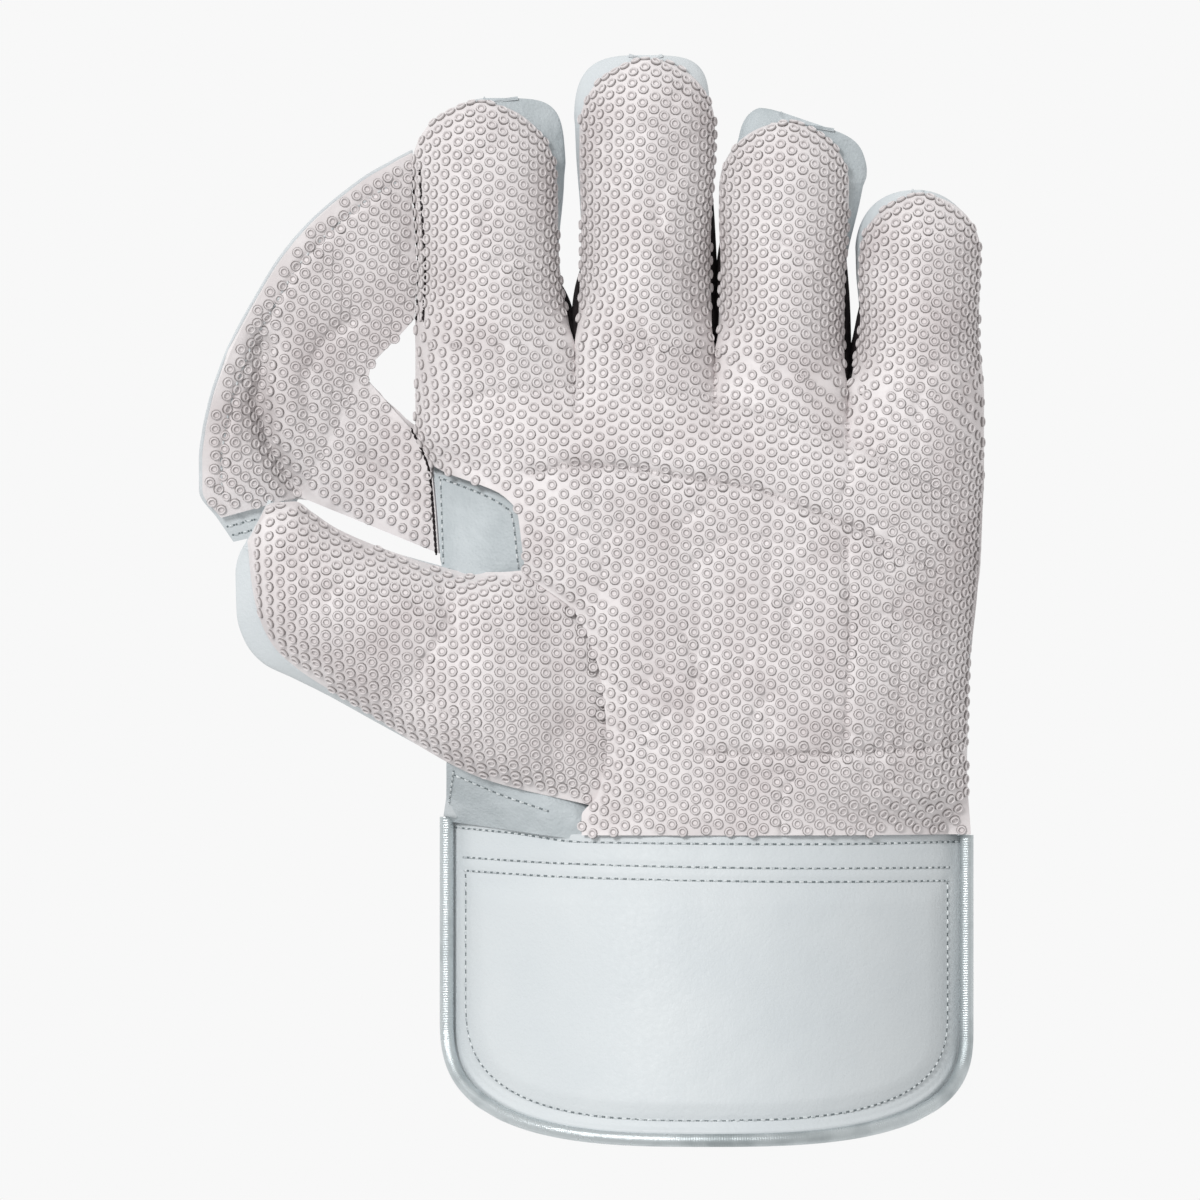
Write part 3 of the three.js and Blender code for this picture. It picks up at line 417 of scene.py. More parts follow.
def arc_lengths(grid, axis):
    """Running length of a grid's lines along an axis"""
    steps = np.linalg.norm(np.diff(grid, axis=axis), axis=-1)
    zero = np.zeros_like(np.take(steps, [0], axis=axis))
    return np.concatenate([zero, np.cumsum(steps, axis=axis)], axis=axis)


def palm_front(columns=44, rows=150, beyond=0):
    """The palm's rubber and its flat pattern. It may run on beyond its seam, under the thumb's."""
    angles = np.linspace(-WRAP, WRAP, columns + 1)
    knuckles = np.concatenate([f.front(np.array(0.0), angles)[(1 if f.order else 0):] for f in fingers])
    down = np.linspace(0, 1, rows)[:, None]
    q = ((knuckles[:, 0] - knuckles[0, 0]) / (knuckles[-1, 0] - knuckles[0, 0]))[None]
    right = palm_at(down)[1]
    beside_thumb = smooth((down - 0.42) / 0.08) * (1 - smooth((down - 0.93) / 0.05))
    left = rubber_edge(down) - beyond * beside_thumb * (1 - smooth((down - 0.85) / 0.05))
    x = mix(knuckles[None, :, 0], mix(left, right, q), smooth(down / 0.12))
    y = mix(knuckles[None, :, 1], palm_y(1), down)
    valley = SEAM_VALLEY * np.exp(-((x - rubber_edge(down)) / 4.5) ** 2) * beside_thumb
    side = 2 * (x - x[:, :1]) / (x[:, -1:] - x[:, :1]) - 1
    height = palm_height(x, y) + relief(x, y, PALM_CREASES) * (1 - side ** 10) - valley
    lap = np.maximum(cuff_height(x, palm_y(1)) + CUFF_LAP, palm_at(down)[3])
    height = mix(height, np.minimum(height, lap), smooth((down - 0.9) / 0.1))
    z = mix(knuckles[None, :, 2], height, smooth(down / 0.22))
    grid = points(x, y, z)
    middle = int(np.argmin(np.abs(x[rows // 2])))
    run = arc_lengths(points(x, 0, z), 1)
    run = run - run[:, middle:middle + 1] + x[:, middle:middle + 1]
    along = y[:1] - arc_lengths(points(0, y, relief(x, y, PALM_CREASES, 0)), 0)
    pattern = points(mix(x, run, smooth(down / 0.22)), along, 0)[..., :2]
    return grid, pattern


def trimmed(grid, pattern, first, last, start, end):
    """A grid and its pattern cut back along its columns and rows by lengths"""
    for axis, low, high in ((1, first, last), (0, start, end)):
        both = np.swapaxes(np.concatenate([grid, pattern], -1), 0, 1 - axis)
        run = arc_lengths(both[..., :3], 1)
        rows = []
        for line, length in zip(both, run):
            at = np.linspace(low, max(length[-1] - high, low + 1), len(length))
            rows.append(np.stack([np.interp(at, length, line[:, k]) for k in range(line.shape[1])], -1))
        both = np.swapaxes(np.array(rows), 0, 1 - axis)
        grid, pattern = both[..., :3], both[..., 3:]
    return grid, pattern


def finger_front(finger, columns=44, rows=84):
    """A finger's rubber and its flat pattern"""
    tip = np.sin(np.linspace(0.08, 1, 24) * math.asin(TIP_END))
    place = np.concatenate([np.linspace(0, 1, rows - 28), 1 + tip, [2.02, 2.05, 2.08, 2.1]])[:, None]
    angles = np.linspace(-WRAP, WRAP, columns + 1)[None]
    grid = finger.front(place, angles)
    run = arc_lengths(grid * np.array([1, 0, 1]), 1)
    middle = columns // 2
    run = run - run[:, middle:middle + 1] + grid[:, middle:middle + 1, 0]
    share = smooth(place / 0.35)
    up = arc_lengths(grid[:, middle:middle + 1], 0)
    along = grid[..., 1] + np.maximum(up - (grid[:, middle:middle + 1, 1] - grid[0, middle, 1]), 0) * 0.8
    return grid, points(mix(grid[..., 0], run, share), along, 0)[..., :2]


def tray_section(left, right, floor, left_top, right_top, corner, left_rim=None, right_rim=None,
                 along=(0.5,)):
    """A section across a leather back, from rim to rim, as [across, height] pairs"""
    low = min(corner, (right - left) * 0.35)

    def side(edge, rim, top, way):
        shoulder = top - min(5, (top - floor) * 0.3)
        rise = min(corner, (shoulder - floor) * 0.85)
        turn = np.array([0, 0.5, 1]) * math.pi / 2
        arc = [(edge + way * low * (1 - math.cos(t)), floor + rise * (1 - math.sin(t))) for t in turn]
        return [(edge if rim is None else rim, top), (edge, shoulder), *arc]

    bottom = [(mix(left + low, right - low, share), floor) for share in along]
    return side(left, left_rim, left_top, 1) + bottom + side(right, right_rim, right_top, -1)[::-1]


def finger_back(finger):
    row = finger.row
    reach = row["reach"] * FINGER_LENGTH
    before = FINGERS[finger.order - 1] if finger.order else None
    after = finger.order < len(FINGERS) - 1
    rows = []
    tips = 1 + np.sin(np.linspace(0.1, 1, 22) * math.asin(TIP_END))
    for place in (*np.linspace(0, 1, 40), *tips, *CLOSING_ROWS):
        tip = max(place - 1, 0)
        f = finger.numbers(place, reach)
        front = finger.numbers(place)
        shift = row["shift"] * FINGER_WIDTH * float(smooth((place - 0.5) / 0.7))
        inset = 2 * GAP if place < 0.1 else 0
        turned = min(tip, 0.998)
        left, right = (f["half"] * (1 - turned ** power) ** (1 / power) - inset for power in row["corners"])
        rim = f["half"] * math.sqrt(1 - tip ** 2) - inset

        def top(edge, side, beside):
            risen = float(smooth((place - side * 1.25) / 0.15 + 0.5)) if beside else 1
            return mix(LOW_SIDE, edge - GAP, risen)

        left_top = top(f["left"], before["side"] if before else 0, before is not None)
        right_top = top(f["right"], row["side"], after)
        lowest = min(left_top, right_top)
        floor = lowest - 0.6 if place >= 2 else (lowest - 3) * (1 - (1 - tip ** 2.4) ** (1 / 2.4))
        corner = BACK_CORNER * (1 - turned ** 3) ** (1 / 3)
        section = tray_section(f["x"] + shift - left, f["x"] + shift + right, floor, left_top, right_top,
                               corner, f["x"] - rim, f["x"] + rim)
        line = [[x, f["y"] + GAP + (x - f["x"]) / f["half"] * f["slope"], z] for x, z in section]
        for spot in line:
            spot[1] -= float(finger.slanted(spot[0])) * float(smooth(tip * 1.2))
        for end in (0, -1):
            tucked = float(smooth(tip / 0.2))
            line[end][1] = mix(line[end][1], front["y"] + GAP - 0.6, tucked)
            line[end][0] = mix(line[end][0], front["x"] + (line[end][0] - f["x"]) * 0.96, tucked)
        rows.append(line)
    rows.append([rows[-1][0]] * len(rows[-1]))
    grid = refine(rows, len(rows), 51)
    swell = 0.35 * lumps(grid[..., 0], grid[..., 1], 20, 60 + finger.order)
    grid[..., 2] += swell * smooth((12 - grid[..., 2]) / 8) + 0.35 * smooth((12 - grid[..., 2]) / 8)
    return grid


def hand_back():
    rows = []
    for down in (0, 0.12, 0.24, 0.26, 0.35, 0.45, 0.47, 0.6, 0.72, 0.84, 0.87, 0.93, 1):
        left, right, _, seam, _ = (float(v) for v in palm_at(down))
        top = float(np.interp(down, THUMB_SIDE_WALL["down"], THUMB_SIDE_WALL["top"]))
        section = tray_section(left, right, 0, top, seam - GAP, HAND_CORNER,
                               along=(0.237, 0.385, 0.532, 0.672, 0.811))
        rows.append([(x, mix(knuckle_line(x), wrist_y(x), down), z) for x, z in section])
    grid = refine(rows, 97, 81)
    flat = smooth((6 - grid[..., 2]) / 5)
    grid[..., 2] += (0.5 + 0.35 * lumps(grid[..., 0], grid[..., 1], 34, 77)) * flat
    return grid


thumb_along = np.array([math.cos(THUMB_ANGLE), math.sin(THUMB_ANGLE)])
thumb_across = np.array([thumb_along[1], -thumb_along[0]])


def thumb_point(along, across, z):
    x, y = THUMB_ROOT + thumb_along * along + thumb_across * across
    return (x, y, z)


def thumb_sections():
    for i in range(len(THUMB["along"])):
        row = {name: THUMB[name][i] for name in THUMB}
        lift = row["lift"] * THUMB_LIFT
        depth = row["depth"] * THUMB_DEPTH
        yield {
            "along": row["along"] * THUMB_LENGTH,
            "upper": row["upper"] * THUMB_WIDTH,
            "lower": row["lower"] * THUMB_WIDTH,
            "cap": row["cap"] * THUMB_WIDTH,
            "bottom": lift,
            "crown": lift + depth,
            "rim": lift + row["rim"] * depth,
        }


def thumb_front():
    angles = np.radians([-80, -52, -26, 0, 26, 52, 80])
    side, lift = wrapped(angles)
    side = (side + 1) / 2
    down = mix(GUSSET_FOOT, SEAM_END, side)
    seam_x, seam_y = rubber_edge(down), palm_y(down)
    seam = points(seam_x + 1.2, seam_y, palm_height(seam_x, seam_y) - 4.2)
    upper, lower = np.array([-58.8, 8.4, 36]), np.array([-64, -53.4, 33])
    swell = mix(upper[None], lower[None], side[:, None])
    swell[:, 2] += (PALM_HEIGHT + 2 - swell[:, 2]) * lift
    rows = [seam, swell]
    sections = list(thumb_sections())
    for s in sections:
        rows.append(np.array([
            thumb_point(s["along"], mix(s["upper"], s["lower"], v), s["rim"] + (s["crown"] - s["rim"]) * w)
            for v, w in zip(side, lift)]))
    end = sections[-1]
    rows.append(np.array([
        thumb_point(end["along"] + (1 if 0.01 < v < 0.99 else 0), mix(end["upper"], end["lower"], v),
                    end["rim"])
        for v in side]))
    grid = refine(rows, 150, 72)
    plan = grid[..., :2] - THUMB_ROOT
    along = plan @ thumb_along
    across = plan @ thumb_across
    share = np.linspace(-1, 1, grid.shape[1])[None]
    grid[..., 2] += relief(grid[..., 0], grid[..., 1], THUMB_CREASES) * (1 - share ** 4)
    half = (across.max(1) - across.min(1))[:, None] / 2
    pattern = points(across - 0.22 * half * share * np.abs(share), along, 0)[..., :2]
    return grid, pattern


def thumb_back():
    def section(left, right, bottom, rim, cap):
        return tray_section(left - cap, right, bottom, rim - GAP, rim - GAP, THUMB_CORNER, left_rim=left)

    sections = list(thumb_sections())[2:]
    rows = []
    for s in sections:
        line = section(s["lower"], s["upper"], s["bottom"], s["rim"], s["cap"])
        rows.append([thumb_point(s["along"], c, z) for c, z in line])
    root = [(float(palm_at(palm_down(y))[0]) + 2.5, y, z) for y, z in section(-50.5, 9.6, 4.7, 31, 0)]
    between = [mix(np.array(root), np.array(rows[0]), share) for share in (0.33, 0.67)]
    end = sections[-1]
    lip = section(end["lower"], end["upper"], end["rim"] - 1.5, end["rim"], 0)
    fold = [thumb_point(end["along"] + 1.2, c, z) for c, z in lip]
    tuck = [thumb_point(end["along"] - 1.5, c, end["rim"] + 0.7) for c, _ in lip]
    return refine([root, *between, *rows, fold, tuck], 73, 51)


def gusset():
    rows = []
    for share in np.linspace(0, 1, 6):
        down = mix(GUSSET_TOP, GUSSET_HEM, share)
        x, y = float(rubber_edge(min(down, GUSSET_FOOT))) - 2 * GAP, palm_y(down)
        right = np.array([x + 4, y, float(palm_height(x, y)) - 3 - 1.4 * float(smooth((share - 0.7) / 0.3))])
        rise = mix(SEAM_HEIGHT, CROTCH_HEIGHT, share) + GAP + LEATHER
        left = np.array([float(palm_at(down)[0]) + 0.4, y, rise])
        row = []
        for q in np.linspace(0, 1, 6):
            p = mix(left, right, q)
            row.append((p[0], p[1], mix(left[2], right[2], q ** 0.8)))
        rows.append(row)
    return refine(rows, 31, 31)


def wrist_patch():
    top = list(zip(WRIST_PATCH["across"], WRIST_PATCH["down"], WRIST_PATCH["rise"]))
    rows = []
    for share in np.linspace(0, 1, 5):
        row = []
        for i, (across, down, rise) in enumerate(top):
            upper = np.array([across * PALM_HALF_WIDTH, palm_y(down), rise * PALM_HEIGHT])
            foot_x = upper[0] - 0.6 if i else float(palm_at(1.0)[0]) + 0.6
            x = mix(upper[0], foot_x, share)
            foot_y = float(wrist_y(x))
            under = 2.5 if i == len(top) - 1 else 0
            foot = np.array([x, foot_y - 1.6, float(cuff_height(x, foot_y)) + 0.6 - under])
            row.append(mix(upper, foot, share) + np.array([0, 0, 1.2 * math.sin(math.pi * share) * (i != 0)]))
        rows.append(row)
    grid = refine(rows, 31, 51)
    grid[..., 2] += 0.5 * lumps(grid[..., 0], grid[..., 1], 9, 71)
    return grid


def web_grids(hem=0):
    """The catching web's band and its arm to the palm, with a hem added at the band's lower end"""
    index = fingers[0]

    def seam(share):
        up = share * index.length
        x, y = index.left_edge(up / index.straight if up <= index.straight
                               else 1 + (up - index.straight) / index.half)
        return x - GAP, y

    band = []
    for i in range(len(WEB["outer_out"])):
        ends = [np.array([-PALM_HALF_WIDTH - WEB[f"{side}_out"][i] * WEB_REACH,
                          WEB_FOOT_Y + WEB[f"{side}_up"][i] * WEB_HEIGHT,
                          WEB[f"{side}_rise"][i] * PALM_HEIGHT]) for side in ("outer", "inner")]
        row = []
        for share in np.linspace(0, 1, 5):
            p = mix(ends[0], ends[1], share)
            if i == 0:
                p[:2] = seam(mix(*WEB_SEAM, share))
            else:
                p[2] += WEB_BULGE * math.sin(math.pi * share)
            row.append(p)
        band.append(row)
    arm = []
    for i, row in enumerate(band[WEB_NOTCH:]):
        down = mix(*WEB_ARM, i / (len(band) - 1 - WEB_NOTCH))
        end = np.array([float(palm_at(down)[0]) - GAP, palm_y(down), WEB_ARM_RISE * PALM_HEIGHT])
        arm.append([mix(row[-1], end, share)
                    - np.array([0, 0, WEB_ARM_SAG * PALM_HEIGHT * math.sin(math.pi * share)])
                    for share in np.linspace(0, 1, 5)])
    if hem:
        steps = [np.subtract(b, a) for a, b in zip(band[-2], band[-1])]
        band.append([p + hem * d / np.linalg.norm(d) for p, d in zip(band[-1], steps)])
    band, arm = np.array(band), np.array(arm)
    fine_band = refine(band, WEB_STEPS * (len(band) - 1) + 1, 61)
    fine_arm = refine(arm, WEB_STEPS * (len(arm) - 1) + 1, 41)
    notch = WEB_STEPS * WEB_NOTCH
    joint = slice(notch, notch + len(fine_arm))
    fine_arm[:, 0] = fine_band[joint, -1]
    from_edge = arc_lengths(fine_band, 1)
    down = np.linspace(0, 1, len(fine_band))[:, None]
    groove = 0.9 * np.exp(-((from_edge - WEB_GROOVE) / 1.1) ** 2)
    fine_band[..., 2] -= groove * smooth(down / 0.12) * (1 - smooth((down - 0.9) / 0.08))
    for grid in (fine_band, fine_arm):
        steady = 1 - smooth((40 - grid[..., 1]) / 15) * smooth((-104 - grid[..., 0]) / 8)
        grid[..., 2] += relief(grid[..., 0], grid[..., 1], WEB_CREASES, 0.3) * steady
    fine_arm[:, 0] = fine_band[joint, -1]
    near = np.exp(-(arc_lengths(fine_arm[:1], 1)[0] / 1.7) ** 2)[:, None]
    corner = [fine_arm[0] + (fine_band[notch - k, -1] - fine_band[notch, -1]) * near for k in (5, 4, 3, 2, 1)]
    return fine_band, np.concatenate([corner, fine_arm])


def rounded(share):
    return np.cbrt(1 - np.abs(share) ** 3 / 2)


CUFF_MOUTH = palm_y(1) - CUFF_LENGTH
PANEL_INSET = 2 * PIPING_RADIUS + GAP


def cuff_point(u, t, inset):
    """The cuff's plan: u from side to side, t from the wrist to 1 at its corners and 2 at the mouth"""
    u, t = np.broadcast_arrays(np.asarray(u, float), np.asarray(t, float))
    corner = mix(CUFF_CORNERS[0], CUFF_CORNERS[1], (u + 1) / 2)
    knee = CUFF_MOUTH + inset + corner
    into = np.maximum(t - 1, 0)
    x = CUFF_MIDDLE_X + (CUFF_HALF_WIDTH - inset) * u * rounded(into)
    top = wrist_y(x) - GAP
    y = np.where(t < 1, mix(top, knee, t), knee - corner * into * rounded(u))
    return x, y


def cuff_height(x, y):
    down = (palm_y(1) - y) / CUFF_LENGTH
    crown = through(CUFF["down"], CUFF["crown"], down) * CUFF_HEIGHT
    square = through(CUFF["down"], CUFF["square"], down)
    side = (x - CUFF_MIDDLE_X) / (CUFF_HALF_WIDTH - PANEL_INSET)
    return CUFF_SIDE + (crown - CUFF_SIDE) * arch(side, square)


def cuff_rim(inset, top=0.0):
    """The cuff's outline at an inset: down one side, round the mouth and up the other side"""
    steps = [(-1, t) for t in np.linspace(top, 2, 50)] + [(u, 2) for u in np.linspace(-1, 1, 60)[1:-1]]
    steps += [(1, t) for t in np.linspace(2, top, 50)]
    return [tuple(float(v) for v in cuff_point(u, t, inset)) for u, t in steps]


# The rows of stitches across the cuff
CUFF_ROWS = (
    ((-72.5, -68.5), (-55, -70), (-35, -72.5), (0, -73), (40, -73.2), (79, -72.8)),
    ((-69, -77.5), (-40, -79), (0, -80), (40, -80.5), (76, -80.5)),
    ((-69, -81.5), (-40, -83), (0, -84), (40, -84.5), (76, -84.5)),
)
PAD_TOP = -84.5  # the lowest of those rows, over the pad
PAD_STITCHES = 3.4  # from the panel's edge to the stitches round the pad


def cuff_relief(x, y):
    """The pad inside the stitching and the grooves that the stitches pull"""
    from_edge = distance(x, y, cuff_rim(PANEL_INSET))
    pad = smooth((from_edge - PAD_STITCHES) / 6) * smooth((PAD_TOP - y) / 7)
    rise = bpy.context.scene.glove_sizes.padding / MM
    height = rise * (pad - 0.6) + 0.22 * lumps(x, y, 34, 15) + 0.08 * lumps(x, y, 11, 16)
    height = height - 0.5 * np.exp(-((from_edge - PAD_STITCHES) / 0.9) ** 2) * smooth((-80 - y) / 6)
    for row in CUFF_ROWS:
        height = height - 0.4 * np.exp(-(distance(x, y, row) / 0.9) ** 2)
    return height * smooth(from_edge / 1.5)


def piping_line(front):
    steps = [(-1, t) for t in np.linspace(0, 1.9, 60)] + [(u, 2) for u in np.linspace(-1, 1, 90)]
    steps += [(1, t) for t in np.linspace(1.9, 0, 60)]
    line = []
    for u, t in steps:
        x, y = (float(v) for v in cuff_point(u, t, PIPING_RADIUS))
        z = BACK_PIPING_HEIGHT
        if front:
            inward = 1 - (PIPING_RADIUS + GAP) / CUFF_HALF_WIDTH
            side = abs(x - CUFF_MIDDLE_X) / (CUFF_HALF_WIDTH - PIPING_RADIUS)
            panel_x = CUFF_MIDDLE_X + (x - CUFF_MIDDLE_X) * inward
            z = float(cuff_height(panel_x, y)) + mix(-1.5, FRONT_PIPING_HEIGHT - CUFF_SIDE, side ** 6)
        line.append((x, y, z))
    return np.array(line)


# Meshes

WELD = 0.02  # points closer than this become one
STEEP = 0.75  # a rim whose normal rises less than this is cut level


def placed(name, data):
    """An object of a mesh, a lamp or a camera, in the scene"""
    obj = bpy.data.objects.new(name, data)
    bpy.context.scene.collection.objects.link(obj)
    return obj


def mesh_object(name, vertices, faces, material, sharp=math.radians(55)):
    mesh = bpy.data.meshes.new(name)
    mesh.from_pydata((np.asarray(vertices) * MM).tolist(), [], faces)
    mesh.validate()
    mesh.polygons.foreach_set("use_smooth", [True] * len(mesh.polygons))
    mesh.set_sharp_from_angle(angle=sharp)
    if material:
        mesh.materials.append(material)
    return placed(name, mesh)


def hold_painted_shade(obj, amounts):
    """How much painted shade each point takes, for the materials"""
    layer = obj.data.attributes.new("dirt", "FLOAT", "POINT")
    layer.data.foreach_set("value", amounts)


def quads(rows, across):
    """The corners of each face of a grid"""
    index = np.arange(rows * across).reshape(rows, across)
    return np.stack([index[:-1, :-1], index[:-1, 1:], index[1:, 1:], index[1:, :-1]], -1).reshape(-1, 4)


def crossed(spots, corners):
    """Each face's normal, as long as twice its area"""
    first, second, third, fourth = (spots[corners[:, k]] for k in range(4))
    return np.cross(third - first, fourth - second)


def round_faces(rings, sides):
    """The faces between rings of points, one ring after another"""
    return [[i + s, i + (s + 1) % sides, i + sides + (s + 1) % sides, i + sides + s]
            for i in range(0, (rings - 1) * sides, sides) for s in range(sides)]


def joined(grids, facing):
    """One surface from grids: its points, its faces and each point's normal"""
    spots, corners, start = [], [], 0
    for grid in grids:
        corners.append(start + quads(*grid.shape[:2]))
        spots.append(grid.reshape(-1, 3))
        start += len(spots[-1])
    spots, corners = np.concatenate(spots), np.concatenate(corners)
    whole = np.round(spots / WELD).astype(int)
    _, first, same = np.unique(whole, axis=0, return_index=True, return_inverse=True)
    spots, corners = spots[first], same.reshape(-1)[corners]
    flat = crossed(spots, corners)
    if flat[:, 2].sum() * facing < 0:
        corners, flat = corners[:, ::-1], -flat
    normals = np.zeros_like(spots)
    for k in range(4):
        np.add.at(normals, corners[:, k], flat)
    normals /= np.maximum(np.linalg.norm(normals, axis=1, keepdims=True), 1e-9)
    return spots, corners, normals


def faces_of(corners):
    faces = []
    for quad in corners.tolist():
        face = [v for k, v in enumerate(quad) if v != quad[k - 1]]
        if len(set(face)) > 2:
            faces.append(face)
    return faces


def wall(name, grids, facing, depth, material, creases=()):
    """One closed wall below the outer surface that the grids give. A steep edge is cut level."""
    spots, corners, normals = joined(grids, facing)
    edges = np.concatenate([corners[:, [k, (k + 1) % 4]] for k in range(4)])
    edges = edges[edges[:, 0] != edges[:, 1]].tolist()
    seen = {(a, b) for a, b in edges}
    rims = [(a, b) for a, b in edges if (b, a) not in seen]
    rim = np.unique(rims)
    steep = rim[np.abs(normals[rim, 2]) < STEEP]
    normals[steep, 2] = 0
    normals[steep] /= np.linalg.norm(normals[steep], axis=1, keepdims=True)
    deep = depth(spots) if callable(depth) else np.full(len(spots), float(depth))
    inner = spots - normals * deep[:, None]
    count = len(spots)
    faces = faces_of(corners)
    faces += [[v + count for v in reversed(face)] for face in faces]
    faces += [[b, a, a + count, b + count] for a, b in rims]
    made = mesh_object(name, np.concatenate([spots, inner]), faces, material)
    # The sheet takes a painted shade along its creases
    if creases:
        hold_painted_shade(made, np.tile(crease_painted_shade(spots, creases), 2))
    return made


def skin(name, grid, pattern):
    """An open surface that carries its flat pattern as a UV map, for what is laid on it"""
    corners = quads(*grid.shape[:2])
    flat = grid.reshape(-1, 3)
    if crossed(flat, corners)[:, 2].sum() < 0:
        corners = corners[:, ::-1]
    mesh = bpy.data.meshes.new(name)
    mesh.from_pydata((flat * MM).tolist(), [], corners.tolist())
    uv = mesh.uv_layers.new(name="pattern")
    uv.data.foreach_set("uv", (pattern.reshape(-1, 2)[corners.reshape(-1)] * MM).reshape(-1))
    mesh.polygons.foreach_set("use_smooth", [True] * len(mesh.polygons))
    return placed(name, mesh)


def tube(name, line, radius, material, sides=14):
    """A round cord along a line, with closed ends"""
    along = np.gradient(line, axis=0)
    along /= np.linalg.norm(along, axis=1, keepdims=True)
    across = np.cross([0, 0, 1], along)
    across /= np.linalg.norm(across, axis=1, keepdims=True)
    up = np.cross(along, across)
    angle = np.linspace(0, 2 * math.pi, sides, endpoint=False)
    rings = (line[:, None] + radius * (across[:, None] * np.cos(angle)[None, :, None]
                                       + up[:, None] * np.sin(angle)[None, :, None]))
    count = len(line)
    faces = round_faces(count, sides)
    faces.append(list(range(sides))[::-1])
    faces.append([(count - 1) * sides + s for s in range(sides)])
    obj = mesh_object(name, rings.reshape(-1, 3), faces, material)
    uv = obj.data.uv_layers.new(name="cord")
    run = arc_lengths(line, 0)
    loops = np.zeros(len(obj.data.loops), int)
    obj.data.loops.foreach_get("vertex_index", loops)
    wrap = (loops % sides) / sides
    uv.data.foreach_set("uv", np.stack([run[loops // sides] * MM, wrap], -1).reshape(-1))
    return obj


def piece(obj, replaces=()):
    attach(obj, "root")
    if replaces:
        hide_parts(*replaces)
    return obj


# Nodes

def node(tree, kind, inputs=None, **settings):
    """A node with its settings, and its inputs linked or set"""
    made = tree.nodes.new(kind)
    for key, value in settings.items():
        setattr(made, key, value)
    for key, value in (inputs or {}).items():
        socket = made.inputs[key]
        if isinstance(value, bpy.types.NodeSocket):
            tree.links.new(value, socket)
        else:
            socket.default_value = value
    return made


def node_tree(name, inputs):
    tree = bpy.data.node_groups.new(name, "GeometryNodeTree")
    for label, kind in [("Geometry", "NodeSocketGeometry"), *inputs]:
        tree.interface.new_socket(label, in_out="INPUT", socket_type=kind)
    tree.interface.new_socket("Geometry", in_out="OUTPUT", socket_type="NodeSocketGeometry")
    return tree, tree.nodes.new("NodeGroupInput").outputs


def finish_tree(tree, geometry, material):
    real = node(tree, "GeometryNodeRealizeInstances", {"Geometry": geometry}).outputs[0]
    done = node(tree, "GeometryNodeSetMaterial", {"Geometry": real, "Material": material}).outputs[0]
    node(tree, "NodeGroupOutput", {"Geometry": done})


def run_tree(obj, tree, values, name):
    """The plain mesh that a tree makes of an object, which it replaces"""
    modifier = obj.modifiers.new(tree.name, "NODES")
    modifier.node_group = tree
    for item in tree.interface.items_tree:
        if item.in_out == "INPUT" and item.name in values:
            modifier[item.identifier] = values[item.name]
    graph = bpy.context.evaluated_depsgraph_get()
    mesh = bpy.data.meshes.new_from_object(obj.evaluated_get(graph), preserve_all_data_layers=True,
                                           depsgraph=graph)
    result = placed(name, mesh)
    bpy.data.objects.remove(obj, do_unlink=True)
    return result


def stored(tree, geometry, name, value):
    """A geometry that carries a vector for each point under a name"""
    return node(tree, "GeometryNodeStoreNamedAttribute", {"Geometry": geometry, "Name": name, "Value": value},
                data_type="FLOAT_VECTOR", domain="POINT").outputs[0]


def named(tree, name):
    """The vector that each point carries under a name"""
    return node(tree, "GeometryNodeInputNamedAttribute", {"Name": name}, data_type="FLOAT_VECTOR").outputs[0]


def vectors(tree, operation, inputs):
    return node(tree, "ShaderNodeVectorMath", inputs, operation=operation).outputs[0]


def object_shape(tree, chosen):
    return node(tree, "GeometryNodeObjectInfo", {"Object": chosen}).outputs["Geometry"]


